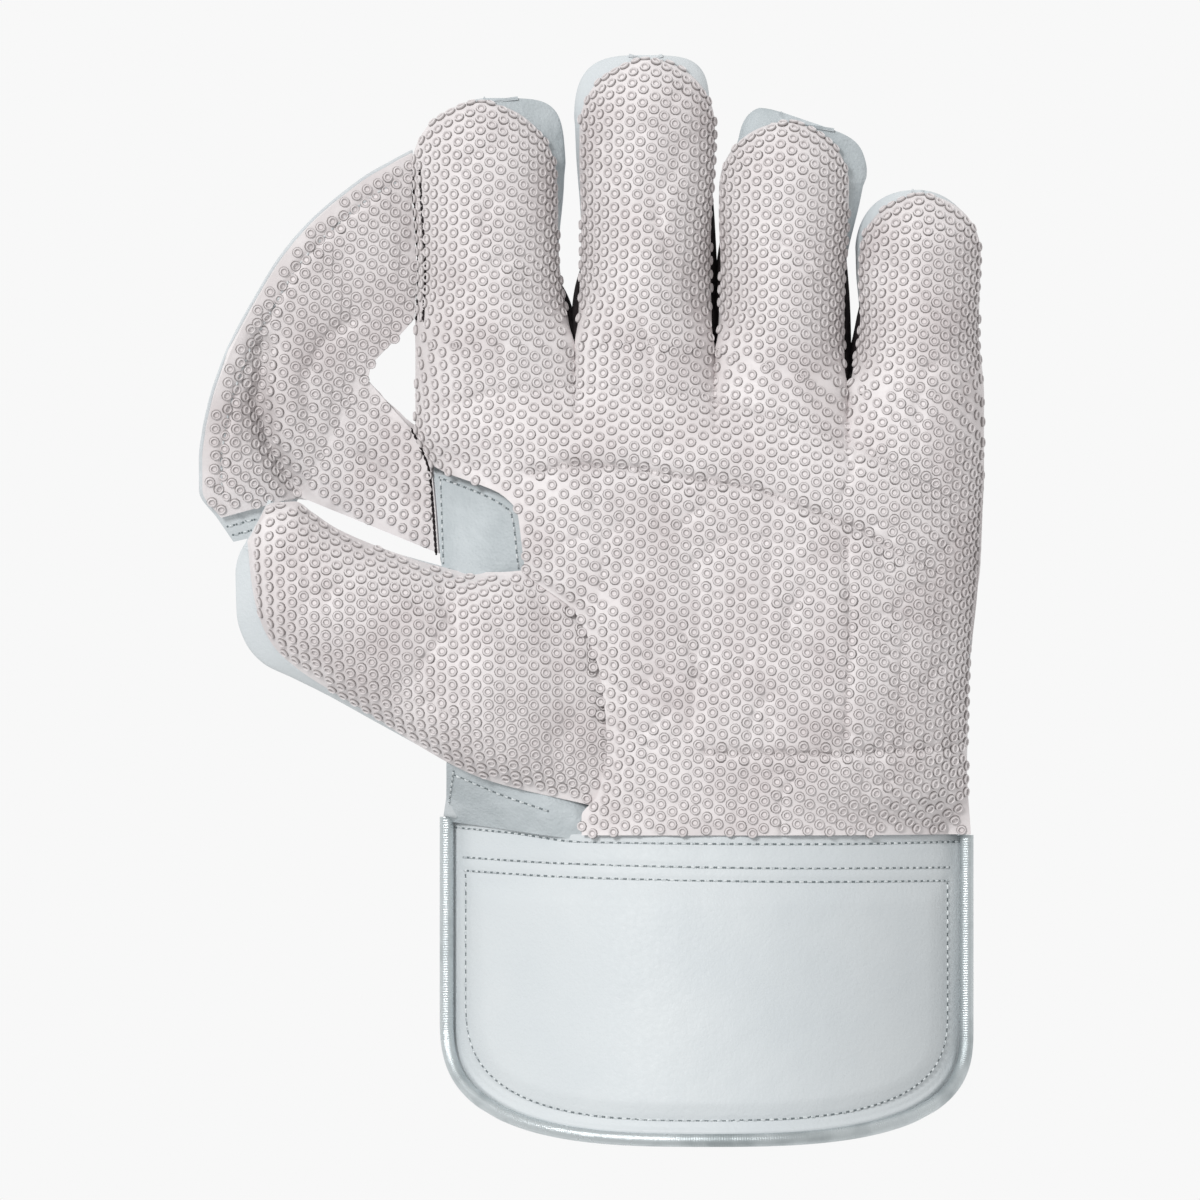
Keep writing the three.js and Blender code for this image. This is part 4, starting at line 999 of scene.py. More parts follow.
def pimple_tree():
    """Lays a shape on a surface in a hexagonal pattern, by the surface's flat pattern"""
    tree, given = node_tree("Pimples", [
        ("Shape", "NodeSocketObject"), ("Columns", "NodeSocketInt"), ("Rows", "NodeSocketInt"),
        ("Column Step", "NodeSocketFloat"), ("Row Step", "NodeSocketFloat"), ("Middle", "NodeSocketVector"),
        ("Turn", "NodeSocketFloat"), ("Unevenness", "NodeSocketFloat"), ("Material", "NodeSocketMaterial"),
    ])

    def math_node(operation, a, b=0.0):
        return node(tree, "ShaderNodeMath", {0: a, 1: b}, operation=operation).outputs[0]

    width = math_node("MULTIPLY", math_node("SUBTRACT", given["Columns"], 1.0), given["Column Step"])
    height = math_node("MULTIPLY", math_node("SUBTRACT", given["Rows"], 1.0), given["Row Step"])
    grid = node(tree, "GeometryNodeMeshGrid", {
        "Size X": width, "Size Y": height,
        "Vertices X": given["Columns"], "Vertices Y": given["Rows"]}).outputs[0]
    here = node(tree, "GeometryNodeInputPosition").outputs[0]
    there = vectors(tree, "ADD", {0: here, 1: given["Middle"]})
    split = node(tree, "ShaderNodeSeparateXYZ", {0: there})
    column = math_node("ROUND", math_node("DIVIDE", split.outputs[0], given["Column Step"]))
    odd = math_node("FLOORED_MODULO", column, 2.0)
    shift = math_node("MULTIPLY", odd, math_node("MULTIPLY", given["Row Step"], 0.5))
    v = math_node("ADD", split.outputs[1], shift)
    even = node(tree, "ShaderNodeCombineXYZ", {0: split.outputs[0], 1: v}).outputs[0]
    turned = node(tree, "ShaderNodeVectorRotate", {
        "Vector": even, "Center": given["Middle"], "Angle": given["Turn"]}, rotation_type="Z_AXIS").outputs[0]
    drift = node(tree, "ShaderNodeTexNoise", {
        "Vector": turned, "Scale": 60.0, "Detail": 1.0}).outputs["Color"]
    centred = vectors(tree, "SUBTRACT", {0: drift, 1: (0.5, 0.5, 0.5)})
    moved = vectors(tree, "SCALE", {0: centred, "Scale": given["Unevenness"]})
    flat = stored(tree, grid, "spot", vectors(tree, "ADD", {0: turned, 1: moved}))
    read_spot = named(tree, "spot")
    pattern = named(tree, "pattern")

    def sample(value):
        return node(tree, "GeometryNodeSampleUVSurface", {
            "Mesh": given["Geometry"], "Value": value, "UV Map": pattern, "Sample UV": read_spot},
            data_type="FLOAT_VECTOR")

    place = sample(here)
    normal = sample(node(tree, "GeometryNodeInputNormal").outputs[0])
    facing = stored(tree, flat, "facing", normal.outputs[0])
    off = node(tree, "FunctionNodeBooleanMath", {0: place.outputs[1]}, operation="NOT").outputs[0]
    kept = node(tree, "GeometryNodeDeleteGeometry", {"Geometry": facing, "Selection": off},
                domain="POINT").outputs[0]
    laid = node(tree, "GeometryNodeSetPosition", {"Geometry": kept, "Position": place.outputs[0]}).outputs[0]
    turn = node(tree, "FunctionNodeAlignRotationToVector", {"Vector": named(tree, "facing")},
                axis="Z").outputs[0]
    rings = node(tree, "GeometryNodeInstanceOnPoints", {
        "Points": laid, "Instance": object_shape(tree, given["Shape"]), "Rotation": turn}).outputs[0]
    finish_tree(tree, rings, given["Material"])
    return tree


def stitch_tree():
    """Lays a shape along lines at an even step, turned along them and standing on their surface"""
    tree, given = node_tree("Stitches", [
        ("Shape", "NodeSocketObject"), ("Step", "NodeSocketFloat"), ("Material", "NodeSocketMaterial"),
    ])
    curve = node(tree, "GeometryNodeMeshToCurve", {"Mesh": given["Geometry"]}).outputs[0]
    even = node(tree, "GeometryNodeResampleCurve", {"Curve": curve}, mode="LENGTH")
    tree.links.new(given["Step"], even.inputs["Length"])
    tangent = node(tree, "GeometryNodeInputTangent").outputs[0]
    stand = node(tree, "FunctionNodeAlignRotationToVector", {"Vector": named(tree, "facing")},
                 axis="Z").outputs[0]
    turn = node(tree, "FunctionNodeAlignRotationToVector", {"Rotation": stand, "Vector": tangent}, axis="X",
                pivot_axis="Z").outputs[0]
    laid = node(tree, "GeometryNodeInstanceOnPoints", {
        "Points": even.outputs[0], "Instance": object_shape(tree, given["Shape"]),
        "Rotation": turn}).outputs[0]
    finish_tree(tree, laid, given["Material"])
    return tree


def hidden_shape(name, vertices, faces, dirt):
    """A small shape for a tree to repeat. It is removed once it has been laid."""
    obj = mesh_object(name, vertices, faces, None, sharp=math.radians(40))
    hold_painted_shade(obj, dirt)
    return obj


def ring_shape(diameter, height, segments=10):
    """A pimple: a low ring with a rounded crown. Its foot and the side of its hollow take a painted shade."""
    r = diameter / 2
    # The third column is how much painted shade each ring of points takes: full at the foot, half on the side
    # of the hollow
    profile = [(r * 1.02, -0.15, 1.0), (r * 0.9, height * 0.75, 0.25), (r * 0.7, height, 0.0),
               (r * 0.47, height * 0.35, 0.5), (r * 0.36, height * 0.15, 0.0)]
    angle = np.linspace(0, 2 * math.pi, segments, endpoint=False)
    vertices = [(a * math.cos(t), a * math.sin(t), z) for a, z, _ in profile for t in angle]
    dirt = [shade for _, _, shade in profile for _ in angle]
    faces = round_faces(len(profile), segments)
    inner, middle = (len(profile) - 1) * segments, len(vertices)
    vertices.append((0, 0, height * 0.15))
    dirt.append(0.0)
    faces += [[inner + s, inner + (s + 1) % segments, middle] for s in range(segments)]
    return hidden_shape("ring", vertices, faces, dirt)


def stitch_shape(length, width, hole):
    """One stitch: a short plump thread that dips into its two holes. The holes are flat discs that take a
    painted shade, and the thread's ends take part of it.
    """
    sides, hole_sides = 6, 8
    vertices, dirt = [], []
    stations = ((-0.5, 0.35, -0.35), (-0.34, 0.9, 0.1), (0, 1, 0.3), (0.34, 0.9, 0.1), (0.5, 0.35, -0.35))
    for share, fat, rise in stations:
        for s in range(sides):
            t = 2 * math.pi * s / sides
            vertices.append((share * length, fat * width / 2 * math.cos(t),
                             width * (rise + fat / 2 * math.sin(t))))
            # The thread's ends take part of the holes' painted shade
            dirt.append(0.6 if abs(share) > 0.4 else 0.0)
    faces = [face[:1] + face[:0:-1] for face in round_faces(len(stations), sides)]
    faces.append(list(range(sides)))
    faces.append([(len(stations) - 1) * sides + s for s in range(sides)][::-1])
    for way in (-1, 1):
        start = len(vertices)
        for s in range(hole_sides):
            t = 2 * math.pi * s / hole_sides
            vertices.append((way * length * 0.56 + hole * math.cos(t), hole * math.sin(t), 0.06))
            # Each hole is a flat disc under full painted shade
            dirt.append(1.0)
        faces.append(list(range(start, start + hole_sides)))
    return hidden_shape("stitch", vertices, faces, dirt)


def lay_pimples(name, grid, pattern, material, trim):
    """Pimples on a surface that is first trimmed at its first and last columns and rows"""
    grid, pattern = trimmed(grid, pattern, *trim)
    sizes = bpy.context.scene.glove_sizes
    row_step = sizes.pimple_pitch
    column_step = row_step * math.cos(math.radians(30))
    low, high = pattern.reshape(-1, 2).min(0) * MM, pattern.reshape(-1, 2).max(0) * MM
    middle = (low + high) / 2
    steps = np.array([column_step, row_step])
    middle = np.round(middle / steps) * steps
    reach = np.ceil((high - low) / 2 / steps) + 3
    shape = ring_shape(sizes.pimple_diameter / MM, sizes.pimple_height / MM)
    rings = run_tree(skin(name + "_skin", grid, pattern), pimple_tree(), {
        "Shape": shape, "Columns": int(2 * reach[0] + 1), "Rows": int(2 * reach[1] + 1),
        "Column Step": column_step, "Row Step": row_step, "Middle": (*middle, 0.0),
        "Turn": -sizes.pimple_lean, "Unevenness": sizes.pimple_drift, "Material": material}, name)
    bpy.data.objects.remove(shape, do_unlink=True)
    return piece(rings)


def surface_tree(objects):
    """The surface of some pieces, to lay stitches on"""
    vertices, faces = [], []
    for obj in objects:
        start = len(vertices)
        vertices += [v.co.copy() for v in obj.data.vertices]
        faces += [[start + v for v in p.vertices] for p in obj.data.polygons]
    return BVHTree.FromPolygons(vertices, faces)


def even_line(line, step=1.0):
    line = np.asarray(line, float)
    run = arc_lengths(line, 0)
    count = max(int(run[-1] / step), 2)
    if len(line) > 2:
        return through(run, line, np.linspace(0, run[-1], count))
    return mix(line[0], line[-1], np.linspace(0, 1, count)[:, None])


def inside(grid, length):
    """A line in plan that runs at a length in from a grid's first column"""
    return [tuple(float(np.interp(length, steps, line[:, k])) for k in (0, 1))
            for steps, line in zip(arc_lengths(grid, 1), grid)]


def lay_stitches(name, lines, objects, material, step=0.0, width=0.0, hole=0.35):
    """Stitches along lines in plan, on the top of some pieces"""
    sizes = bpy.context.scene.glove_sizes
    surface = surface_tree(objects)
    vertices, edges, facing = [], [], []
    for line in lines:
        last = None
        for x, y in even_line(line):
            spot, normal, _, _ = surface.ray_cast(Vector((x * MM, y * MM, 0.2)), Vector((0, 0, -1)))
            if spot is None:
                last = None
                continue
            vertices.append(spot / MM)
            facing.append(normal if normal.z > 0 else -normal)
            if last is not None:
                edges.append((last, len(vertices) - 1))
            last = len(vertices) - 1
    mesh = bpy.data.meshes.new(name + "_lines")
    mesh.from_pydata((np.array(vertices) * MM).tolist(), edges, [])
    layer = mesh.attributes.new("facing", "FLOAT_VECTOR", "POINT")
    layer.data.foreach_set("vector", np.array(facing).reshape(-1))
    shape = stitch_shape(sizes.stitch_length / MM, (width or sizes.thread) / MM, hole)
    laid = run_tree(placed(name + "_lines", mesh), stitch_tree(), {
        "Shape": shape, "Step": step or sizes.stitch_step, "Material": material}, name)
    bpy.data.objects.remove(shape, do_unlink=True)
    return piece(laid)


# Materials

def linear(hex_code):
    """An sRGB hex colour as the linear colour that shaders take"""
    parts = [int(hex_code[i:i + 2], 16) / 255 for i in (1, 3, 5)]
    return tuple(c / 12.92 if c <= 0.04045 else ((c + 0.055) / 1.055) ** 2.4 for c in parts)


def new_material(name):
    made = bpy.data.materials.new(name)
    made.use_nodes = True
    made.node_tree.nodes.clear()
    return made, made.node_tree


def close_material(tree, **sockets):
    inputs = {key.replace("_", " "): value for key, value in sockets.items()}
    shader = node(tree, "ShaderNodeBsdfPrincipled", inputs)
    node(tree, "ShaderNodeOutputMaterial", {"Surface": shader.outputs[0]})


def blend(tree, share, a, b):
    """A colour between two, as a node"""
    made = node(tree, "ShaderNodeMix", {0: share}, data_type="RGBA")
    for socket, colour in ((made.inputs[6], a), (made.inputs[7], b)):
        if isinstance(colour, bpy.types.NodeSocket):
            tree.links.new(colour, socket)
        else:
            socket.default_value = (*colour, 1)
    return made.outputs[2]


def ramp(tree, value, low, high, to_low=0.0, to_high=1.0):
    return node(tree, "ShaderNodeMapRange", {0: value, 1: low, 2: high, 3: to_low, 4: to_high}).outputs[0]


def object_coordinates(tree):
    return node(tree, "ShaderNodeTexCoord").outputs["Object"]


def noise(tree, place, scale, detail=2.0):
    return node(tree, "ShaderNodeTexNoise", {"Vector": place, "Scale": scale, "Detail": detail}).outputs[0]


def cells(tree, place, scale):
    return node(tree, "ShaderNodeTexVoronoi", {"Vector": place, "Scale": scale}).outputs[0]


# The painted shade that each point takes: at the pimples' feet and hollows, in creases and at needle holes
def held_painted_shade(tree):
    return node(tree, "ShaderNodeAttribute", attribute_name="dirt").outputs["Fac"]


def bump(tree, height, strength, distance, over=None):
    """Relief too fine for the mesh, over another bump where one is given"""
    inputs = {"Strength": strength, "Distance": distance, "Height": height}
    if over is not None:
        inputs["Normal"] = over
    return node(tree, "ShaderNodeBump", inputs).outputs[0]


# Moulded natural rubber on cotton: matte and pale, clouded where it has been handled and flecked with dust.
# The foot and hollow of each pimple and the sheet's creases take a painted shade.
def pimpled_rubber():
    colours = bpy.context.scene.glove_colours
    made, tree = new_material("moulded_natural_rubber")
    place = object_coordinates(tree)
    dirt = held_painted_shade(tree)
    stain = noise(tree, place, 45.0, 4.0)
    dust_and_shade = noise(tree, place, 900.0)
    clean = blend(tree, ramp(tree, stain, 0.42, 0.7), colours.rubber, colours.rubber_worn)
    clean = blend(tree, ramp(tree, dust_and_shade, 0.45, 0.75, 0.0, 0.35), clean, colours.rubber_worn)
    # Painted shade at the pimples' feet and hollows and in the sheet's creases
    colour = blend(tree, dirt, clean, colours.rubber_painted_shade)
    close_material(tree, Base_Color=colour, Roughness=ramp(tree, dust_and_shade, 0, 1, 0.5, 0.68),
                   Normal=bump(tree, dust_and_shade, 0.3, 0.0002))
    return made


# Chrome-tanned cowhide with a pigmented finish: fine grain of about 0.6 mm, a low even sheen and
# faint clouding where it has been stretched over the padding.
def glove_leather():
    colours = bpy.context.scene.glove_colours
    made, tree = new_material("pigmented_cowhide")
    place = object_coordinates(tree)
    cloud = noise(tree, place, 22.0, 4.0)
    grain = cells(tree, place, 1500.0)
    pores = noise(tree, place, 700.0, 5.0)
    colour = blend(tree, ramp(tree, cloud, 0.35, 0.7), colours.leather, colours.leather_low)
    colour = blend(tree, ramp(tree, pores, 0.62, 0.8, 0.0, 0.25), colour, colours.leather_low)
    close_material(tree, Base_Color=colour, Roughness=ramp(tree, pores, 0.3, 0.7, 0.5, 0.66),
                   Normal=bump(tree, pores, 0.35, 0.0004, bump(tree, grain, 0.18, 0.0002)))
    return made


# The thinner, softer cowhide of the gusset and the wrist patch. It is greyer and takes a coarser grain, with
# creases about 4 mm apart where it gives with the hand. The backs of the index and ring fingers take it too,
# as painted shade with some grime, where light reaches them less.
def soft_leather_and_painted_shade():
    colours = bpy.context.scene.glove_colours
    made, tree = new_material("soft_cowhide")
    place = object_coordinates(tree)
    cloud = noise(tree, place, 70.0, 5.0)
    grain = cells(tree, place, 1100.0)
    crease = noise(tree, place, 240.0, 6.0)
    colour = blend(tree, ramp(tree, cloud, 0.3, 0.75), colours.soft_leather_and_painted_shade, colours.soft_leather_and_painted_shade_low)
    close_material(tree, Base_Color=colour, Roughness=0.55,
                   Normal=bump(tree, crease, 0.5, 0.0012, bump(tree, grain, 0.4, 0.0003)))
    return made


# Metallised vinyl over a cord: silvery and rather bright, with the weave of its backing showing
# as fine ribs across it, and duller where it has worn.
def silver_piping():
    colours = bpy.context.scene.glove_colours
    made, tree = new_material("metallised_vinyl")
    along = node(tree, "ShaderNodeUVMap", uv_map="cord").outputs[0]
    ribs = node(tree, "ShaderNodeTexWave", {
        "Vector": along, "Scale": 420.0, "Distortion": 1.5, "Detail": 2.0}).outputs["Fac"]
    wear = noise(tree, object_coordinates(tree), 60.0, 5.0)
    colour = blend(tree, ramp(tree, wear, 0.5, 0.7), colours.piping, colours.piping_worn)
    close_material(tree, Base_Color=colour, Metallic=0.7, Roughness=ramp(tree, wear, 0.4, 0.7, 0.25, 0.45),
                   Normal=bump(tree, ribs, 0.3, 0.0002))
    return made


# Plain woven cotton, dyed black: the threads are 0.4 mm apart. Its near-black is partly dye and partly
# painted shade of the slits between the fingers and of the web's seams.
def black_cotton():
    colours = bpy.context.scene.glove_colours
    made, tree = new_material("black_cotton")
    place = object_coordinates(tree)
    weave = node(tree, "ShaderNodeTexWave", {"Vector": place, "Scale": 800.0, "Distortion": 0.5},
                 bands_direction="Z").outputs["Fac"]
    lint = noise(tree, place, 500.0)
    colour = blend(tree, ramp(tree, lint, 0.4, 0.8, 0.0, 0.5), colours.cloth, colours.cloth_light)
    close_material(tree, Base_Color=colour, Roughness=0.95, Normal=bump(tree, weave, 0.4, 0.0003))
    return made


# Bonded nylon thread: smooth and slightly shiny, with a painted shade where it goes into the needle's holes
def nylon_thread():
    colours = bpy.context.scene.glove_colours
    made, tree = new_material("bonded_nylon_thread")
    dirt = held_painted_shade(tree)
    twist = noise(tree, object_coordinates(tree), 1200.0)
    colour = blend(tree, ramp(tree, twist, 0.35, 0.65), colours.thread, colours.thread_low)
    # Painted shade at the thread's ends and in the needle's holes
    colour = blend(tree, dirt, colour, colours.needle_hole_shade)
    close_material(tree, Base_Color=colour, Roughness=0.45)
    return made


# Sizes and colours

def length_property(name, description, default):
    return FloatProperty(name=name, description=description, default=default, min=0, unit="LENGTH",
                         subtype="DISTANCE")


def colour_property(name, description, hex_code):
    return FloatVectorProperty(name=name, description=description, default=linear(hex_code), subtype="COLOR",
                               min=0, max=1)


class GloveSizes(bpy.types.PropertyGroup):
    pimple_pitch: length_property("Pimple pitch", "Distance between neighbouring pimples", 0.004)
    pimple_diameter: length_property("Pimple diameter", "Width of a pimple at its foot", 0.0032)
    pimple_height: length_property("Pimple height", "How far a pimple stands off the sheet", 0.00085)
    pimple_drift: length_property("Pimple drift", "How far the pattern strays from an even one", 0.0015)
    pimple_lean: FloatProperty(name="Pimple lean", default=math.radians(3), subtype="ANGLE",
                               description="How far the pimples' columns lean to the right")
    stitch_length: length_property("Stitch length", "Length of thread that shows", 0.0018)
    stitch_step: length_property("Stitch step", "Distance from one stitch to the next", 0.0026)
    thread: length_property("Thread", "Thickness of the thread", 0.0006)
    padding: length_property("Padding", "How far the cuff's padding swells", 0.0013)


class GloveColours(bpy.types.PropertyGroup):
    rubber: colour_property("Rubber", "The rubber where it is clean", "#E7E2E2")
    rubber_worn: colour_property("Worn rubber", "Handled places of the rubber", "#D8D1D1")
    # Painted shade for the foot and hollow of each pimple and for the rubber's creases
    rubber_painted_shade: colour_property("Dusty rubber", "Dust in the foot and hollow of each pimple", "#4A413F")
    leather: colour_property("Leather", "The leather's main colour", "#D1D6D8")
    leather_low: colour_property("Shaded leather", "Clouding and pores of the leather", "#CAD0D3")
    # Also painted shade, with some grime, on the backs of the index and ring fingers
    soft_leather_and_painted_shade: colour_property("Soft leather", "The gusset and the wrist patch", "#C3CACD")
    soft_leather_and_painted_shade_low: colour_property("Shaded soft leather", "Clouding of the soft leather", "#AEB6B9")
    piping: colour_property("Piping", "The silver piping", "#C9D0D2")
    piping_worn: colour_property("Worn piping", "Dull places of the piping", "#A6AEB0")
    # The strips' near-black is partly dye and partly painted shade of the slits
    cloth: colour_property("Cloth", "The black strips between the fingers", "#140C0E")
    cloth_light: colour_property("Cloth lint", "Lighter threads of the strips", "#33262A")
    thread: colour_property("Thread", "The stitching thread", "#DFE3E4")
    thread_low: colour_property("Shaded thread", "The twist of the thread", "#A9B0B3")
    # Painted shade of the needle's holes and of the thread's ends
    needle_hole_shade: colour_property("Needle hole", "The holes that stitches go into", "#6B7477")
    floor: colour_property("Floor", "The lit surface under the glove", "#F8F8F8")


def shared_material(name, maker):
    """The material of that name, made the first time it is asked for"""
    return bpy.data.materials.get(name) or maker()


def rubber_material():
    return shared_material("moulded_natural_rubber", pimpled_rubber)


def leather_material():
    return shared_material("pigmented_cowhide", glove_leather)


def soft_leather_and_painted_shade_material():
    return shared_material("soft_cowhide", soft_leather_and_painted_shade)


def cotton_material():
    return shared_material("black_cotton", black_cotton)


# Operators

class GLOVE_OT_palm(bpy.types.Operator):
    """Builds the rubber front of the palm and the fingers with its pimples"""
    bl_idname = "glove.palm"
    bl_label = "Palm and Finger Rubber"

    def execute(self, context):
        material = rubber_material()
        palm, _ = palm_front()
        fronts = [finger_front(f) for f in fingers]
        sheet = wall("palm_front", [palm[::-1], *(grid for grid, _ in fronts)], 1, RUBBER, material,
                     PALM_CREASES)
        piece(sheet, ["palm_rubber", *(f"{f.name}_rubber" for f in fingers)])
        lay_pimples("palm_pimples", *palm_front(beyond=2), material, trim=(0, 1.4, 0, 0.5))
        for finger, (grid, flat) in zip(fingers, fronts):
            lay_pimples(f"{finger.name}_pimples", grid, flat, material, trim=(1.2, 1.2, 0, 2))
        return {"FINISHED"}


class GLOVE_OT_thumb(bpy.types.Operator):
    """Builds the rubber front of the thumb with its pimples"""
    bl_idname = "glove.thumb"
    bl_label = "Thumb Rubber"

    def execute(self, context):
        material = rubber_material()
        grid, pattern = thumb_front()
        sheet = wall("thumb_front", [grid], 1, RUBBER, material, THUMB_CREASES)
        piece(sheet, ["thumb_rubber"])
        lay_pimples("thumb_pimples", grid, pattern, material, trim=(1.5, 1.5, 1.2, 1.5))
        return {"FINISHED"}


class GLOVE_OT_web(bpy.types.Operator):
    """Builds the catching web: its rubber, its pimples and the leather behind it"""
    bl_idname = "glove.web"
    bl_label = "Catching Web"

    def execute(self, context):
        material = rubber_material()
        band, arm = web_grids()
        sheet = wall("web_front", [band, arm], 1, WEB_RUBBER, material, WEB_CREASES)
        piece(sheet, ["web_rubber"])
        back = [grid - np.array([0, 0, WEB_RUBBER + GAP]) for grid in web_grids(WEB_HEM)]
        outward = back[0][:, 0] - back[0][:, 3]
        back[0][:, 0] += 1.1 * outward / np.linalg.norm(outward, axis=1, keepdims=True)
        leather = wall("web_leather", back, 1, LEATHER, leather_material())
        piece(leather, ["web_backing"])
        run = arc_lengths(band * np.array([1, 0, 1]), 1)
        folded = points(band[:, -1:, 0] + run - run[:, -1:], band[..., 1], 0)[..., :2]
        lay_pimples("web_band_pimples", band, folded, material, (1.2, 0, 0, 1.2))
        lay_pimples("web_arm_pimples", arm, arm[..., :2], material, (0, 1, 1.2, 1.2))
        return {"FINISHED"}


class GLOVE_OT_backs(bpy.types.Operator):
    """Builds the padded leather backs of the hand, the fingers and the thumb"""
    bl_idname = "glove.backs"
    bl_label = "Leather Backs"

    def execute(self, context):
        leather = leather_material()

        def thinning(along, end):
            """Padding that thins towards a tip"""
            return mix(STALL_PADDING, TIP_PADDING, smooth((along - end + 9) / 6))

        def thumb_thickness(spots):
            return thinning((spots[:, :2] - THUMB_ROOT) @ thumb_along, THUMB_LENGTH)

        backs = [("thumb", thumb_back(), thumb_thickness, leather),
                 ("hand", hand_back(), HAND_PADDING, leather)]
        for finger in fingers:
            grid = finger_back(finger)
            end = (grid[..., 1] + finger.slanted(grid[..., 0])).max()

            def thickness(spots, finger=finger, end=end):
                return thinning(spots[:, 1] + finger.slanted(spots[:, 0]), end)

            # The index and ring backs take the greyer leather as painted shade, with some grime, where light
            # reaches them less
            finish = soft_leather_and_painted_shade_material() if finger.name in ("index", "ring") else leather
            backs.append((finger.name, grid, thickness, finish))
        for name, grid, thick, finish in backs:
            back = wall(f"{name}_leather", [grid], -1, thick, finish)
            piece(back, [f"{name}_back"])
        return {"FINISHED"}


class GLOVE_OT_patches(bpy.types.Operator):
    """Builds the leather gusset beside the thumb and the patch above the wrist"""
    bl_idname = "glove.patches"
    bl_label = "Gusset and Wrist Patch"

    def execute(self, context):
        patches = (("thumb_gusset", gusset(), (0.036, 0.034)), ("wrist_patch", wrist_patch(), (0.05, 0.026)))
        for name, grid, flat in patches:
            patch = wall(f"{name}_leather", [grid], 1, LEATHER, soft_leather_and_painted_shade_material())
            piece(patch, [name])
        return {"FINISHED"}


class GLOVE_OT_strips(bpy.types.Operator):
    """Builds the black strips in the slits between the fingers"""
    bl_idname = "glove.strips"
    bl_label = "Finger Strips"

    def execute(self, context):
        steps = np.linspace(0.1, 1, 24)
        foot = LOW_SIDE + GAP
        for finger, after in zip(fingers, fingers[1:]):
            reach = finger.row["side"] * 1.25
            line = []
            for owner, side, shares in ((finger, 1, np.linspace(1, 0.1, 24)), (after, -1, steps)):
                for share in shares:
                    f = owner.numbers(share * reach)
                    edge = f["right"] if side > 0 else f["left"]
                    top = edge - 4 * GAP - RUBBER * (1 - float(smooth(share / 0.5)))
                    low = mix(foot, top - 1, float(smooth((share - 0.8) / 0.2)))
                    x, y = f["x"] + side * (f["half"] - RUBBER / 2), f["y"] + side * f["slope"]
                    line.append((x, y, low, top, 2.2 * side * (1 - share ** 4)))
                if side > 0:
                    line.append((*np.subtract(finger.b, (0, RUBBER)), foot,
                                 CROTCH_HEIGHT - RUBBER - 5 * GAP, 0))
            rows = [[(x + bulge * math.sin(rise * math.pi) ** 0.7, y, mix(low, top, rise))
                     for x, y, low, top, bulge in line] for rise in np.linspace(0, 1, 13)]
            name = f"fourchette_{finger.name}_{after.name}"
            # The cloth's near-black is partly painted shade of the slit
            strip = wall(f"{name}_cloth", [np.array(rows)], 0, STRIP, cotton_material())
            piece(strip, [name])
        return {"FINISHED"}


class GLOVE_OT_cuff(bpy.types.Operator):
    """Builds the padded cuff and the silver piping round it"""
    bl_idname = "glove.cuff"
    bl_label = "Cuff and Piping"

    def execute(self, context):
        leather = leather_material()
        u = np.linspace(-1, 1, 190)[None]
        t = np.concatenate([[-0.05, -0.03, -0.01], np.linspace(0, 1, 64), np.linspace(1, 2, 60)[1:]])[:, None]
        x, y = cuff_point(u, t, PANEL_INSET - CUFF_TUCK)

        def padding(spots):
            away = np.minimum.reduce([palm_y(1) - spots[:, 1], spots[:, 1] - CUFF_MOUTH - PANEL_INSET,
                                      CUFF_HALF_WIDTH - np.abs(spots[:, 0] - CUFF_MIDDLE_X) - PANEL_INSET])
            return mix(CUFF_EDGE, CUFF_PADDING, smooth(away / 18))

        height = cuff_height(x, y) + cuff_relief(x, y) - 1.6 * smooth(-t / 0.03)
        front = wall("cuff_front", [points(x, y, height)], 1, padding, leather)
        piece(front, ["cuff_palm_panel"])
        edge = np.clip((np.maximum(np.abs(u), t - 1) - 0.93) / 0.07, 0, 1)
        height = edge ** 2 + 0.5 * (0.9 - cuff_relief(x, y))
        back = wall("cuff_back", [points(x, y, height)], -1, padding, leather)
        piece(back, ["cuff_back_panel"])
        piping = shared_material("metallised_vinyl", silver_piping)
        for name, front_side in (("cuff_palm_piping", True), ("cuff_back_piping", False)):
            cord = tube(name.replace("piping", "cord"), piping_line(front_side), PIPING_RADIUS, piping)
            piece(cord, [name])
        return {"FINISHED"}


class GLOVE_OT_stitching(bpy.types.Operator):
    """Sews the cuff, the gusset, the wrist patch and the web"""
    bl_idname = "glove.stitching"
    bl_label = "Stitching"

    def execute(self, context):
        thread = shared_material("bonded_nylon_thread", nylon_thread)
        objects = bpy.data.objects
        cuff_lines = [*CUFF_ROWS, cuff_rim(PANEL_INSET + PAD_STITCHES, 0.3)]
        lay_stitches("cuff_stitches", cuff_lines, [objects["cuff_front"]], thread)
        patch_lines = [
            [(-76, 36.5), (-59.5, 29.5), (-55, 25.5), (-53, 10.5)],
            [(-76.3, 35), (-75.5, 12)],
            [(-72.5, -52), (-74, -62)],
            [(-71, -53), (-58, -58.5), (-45, -63)],
        ]
        lay_stitches("patch_stitches", patch_lines,
                     [objects["thumb_gusset_leather"], objects["wrist_patch_leather"]], thread)
        band, arm = web_grids()
        hem = np.swapaxes(web_grids(WEB_HEM)[0][::-1], 0, 1)[3:-3]
        hem_lines = [inside(hem, 2.4), inside(hem, 5.6)]
        lay_stitches("web_hem_stitches", hem_lines, [objects["web_leather"]], thread)
        groove_lines = [inside(band, WEB_GROOVE)[6:-10]]
        lay_stitches("web_groove_stitches", groove_lines, [objects["web_front"]], thread, hole=0.1)
        # Black thread along the web's seams; its darkness also stands in for the seams' shade, as painted
        # shade
        beside = [fingers[0].left_edge(place) for place in np.linspace(0.16, 1.08, 40)]
        seams = [[(x + inset, y) for x, y in beside] for inset in (0.5, 2.6)]
        seams.append(inside(arm[:, ::-1], 0.8)[1:-1])
        lay_stitches("web_seam_stitches", seams, [objects["palm_front"], objects["web_front"]],
                     cotton_material(), step=0.0017, width=0.0009)
        return {"FINISHED"}


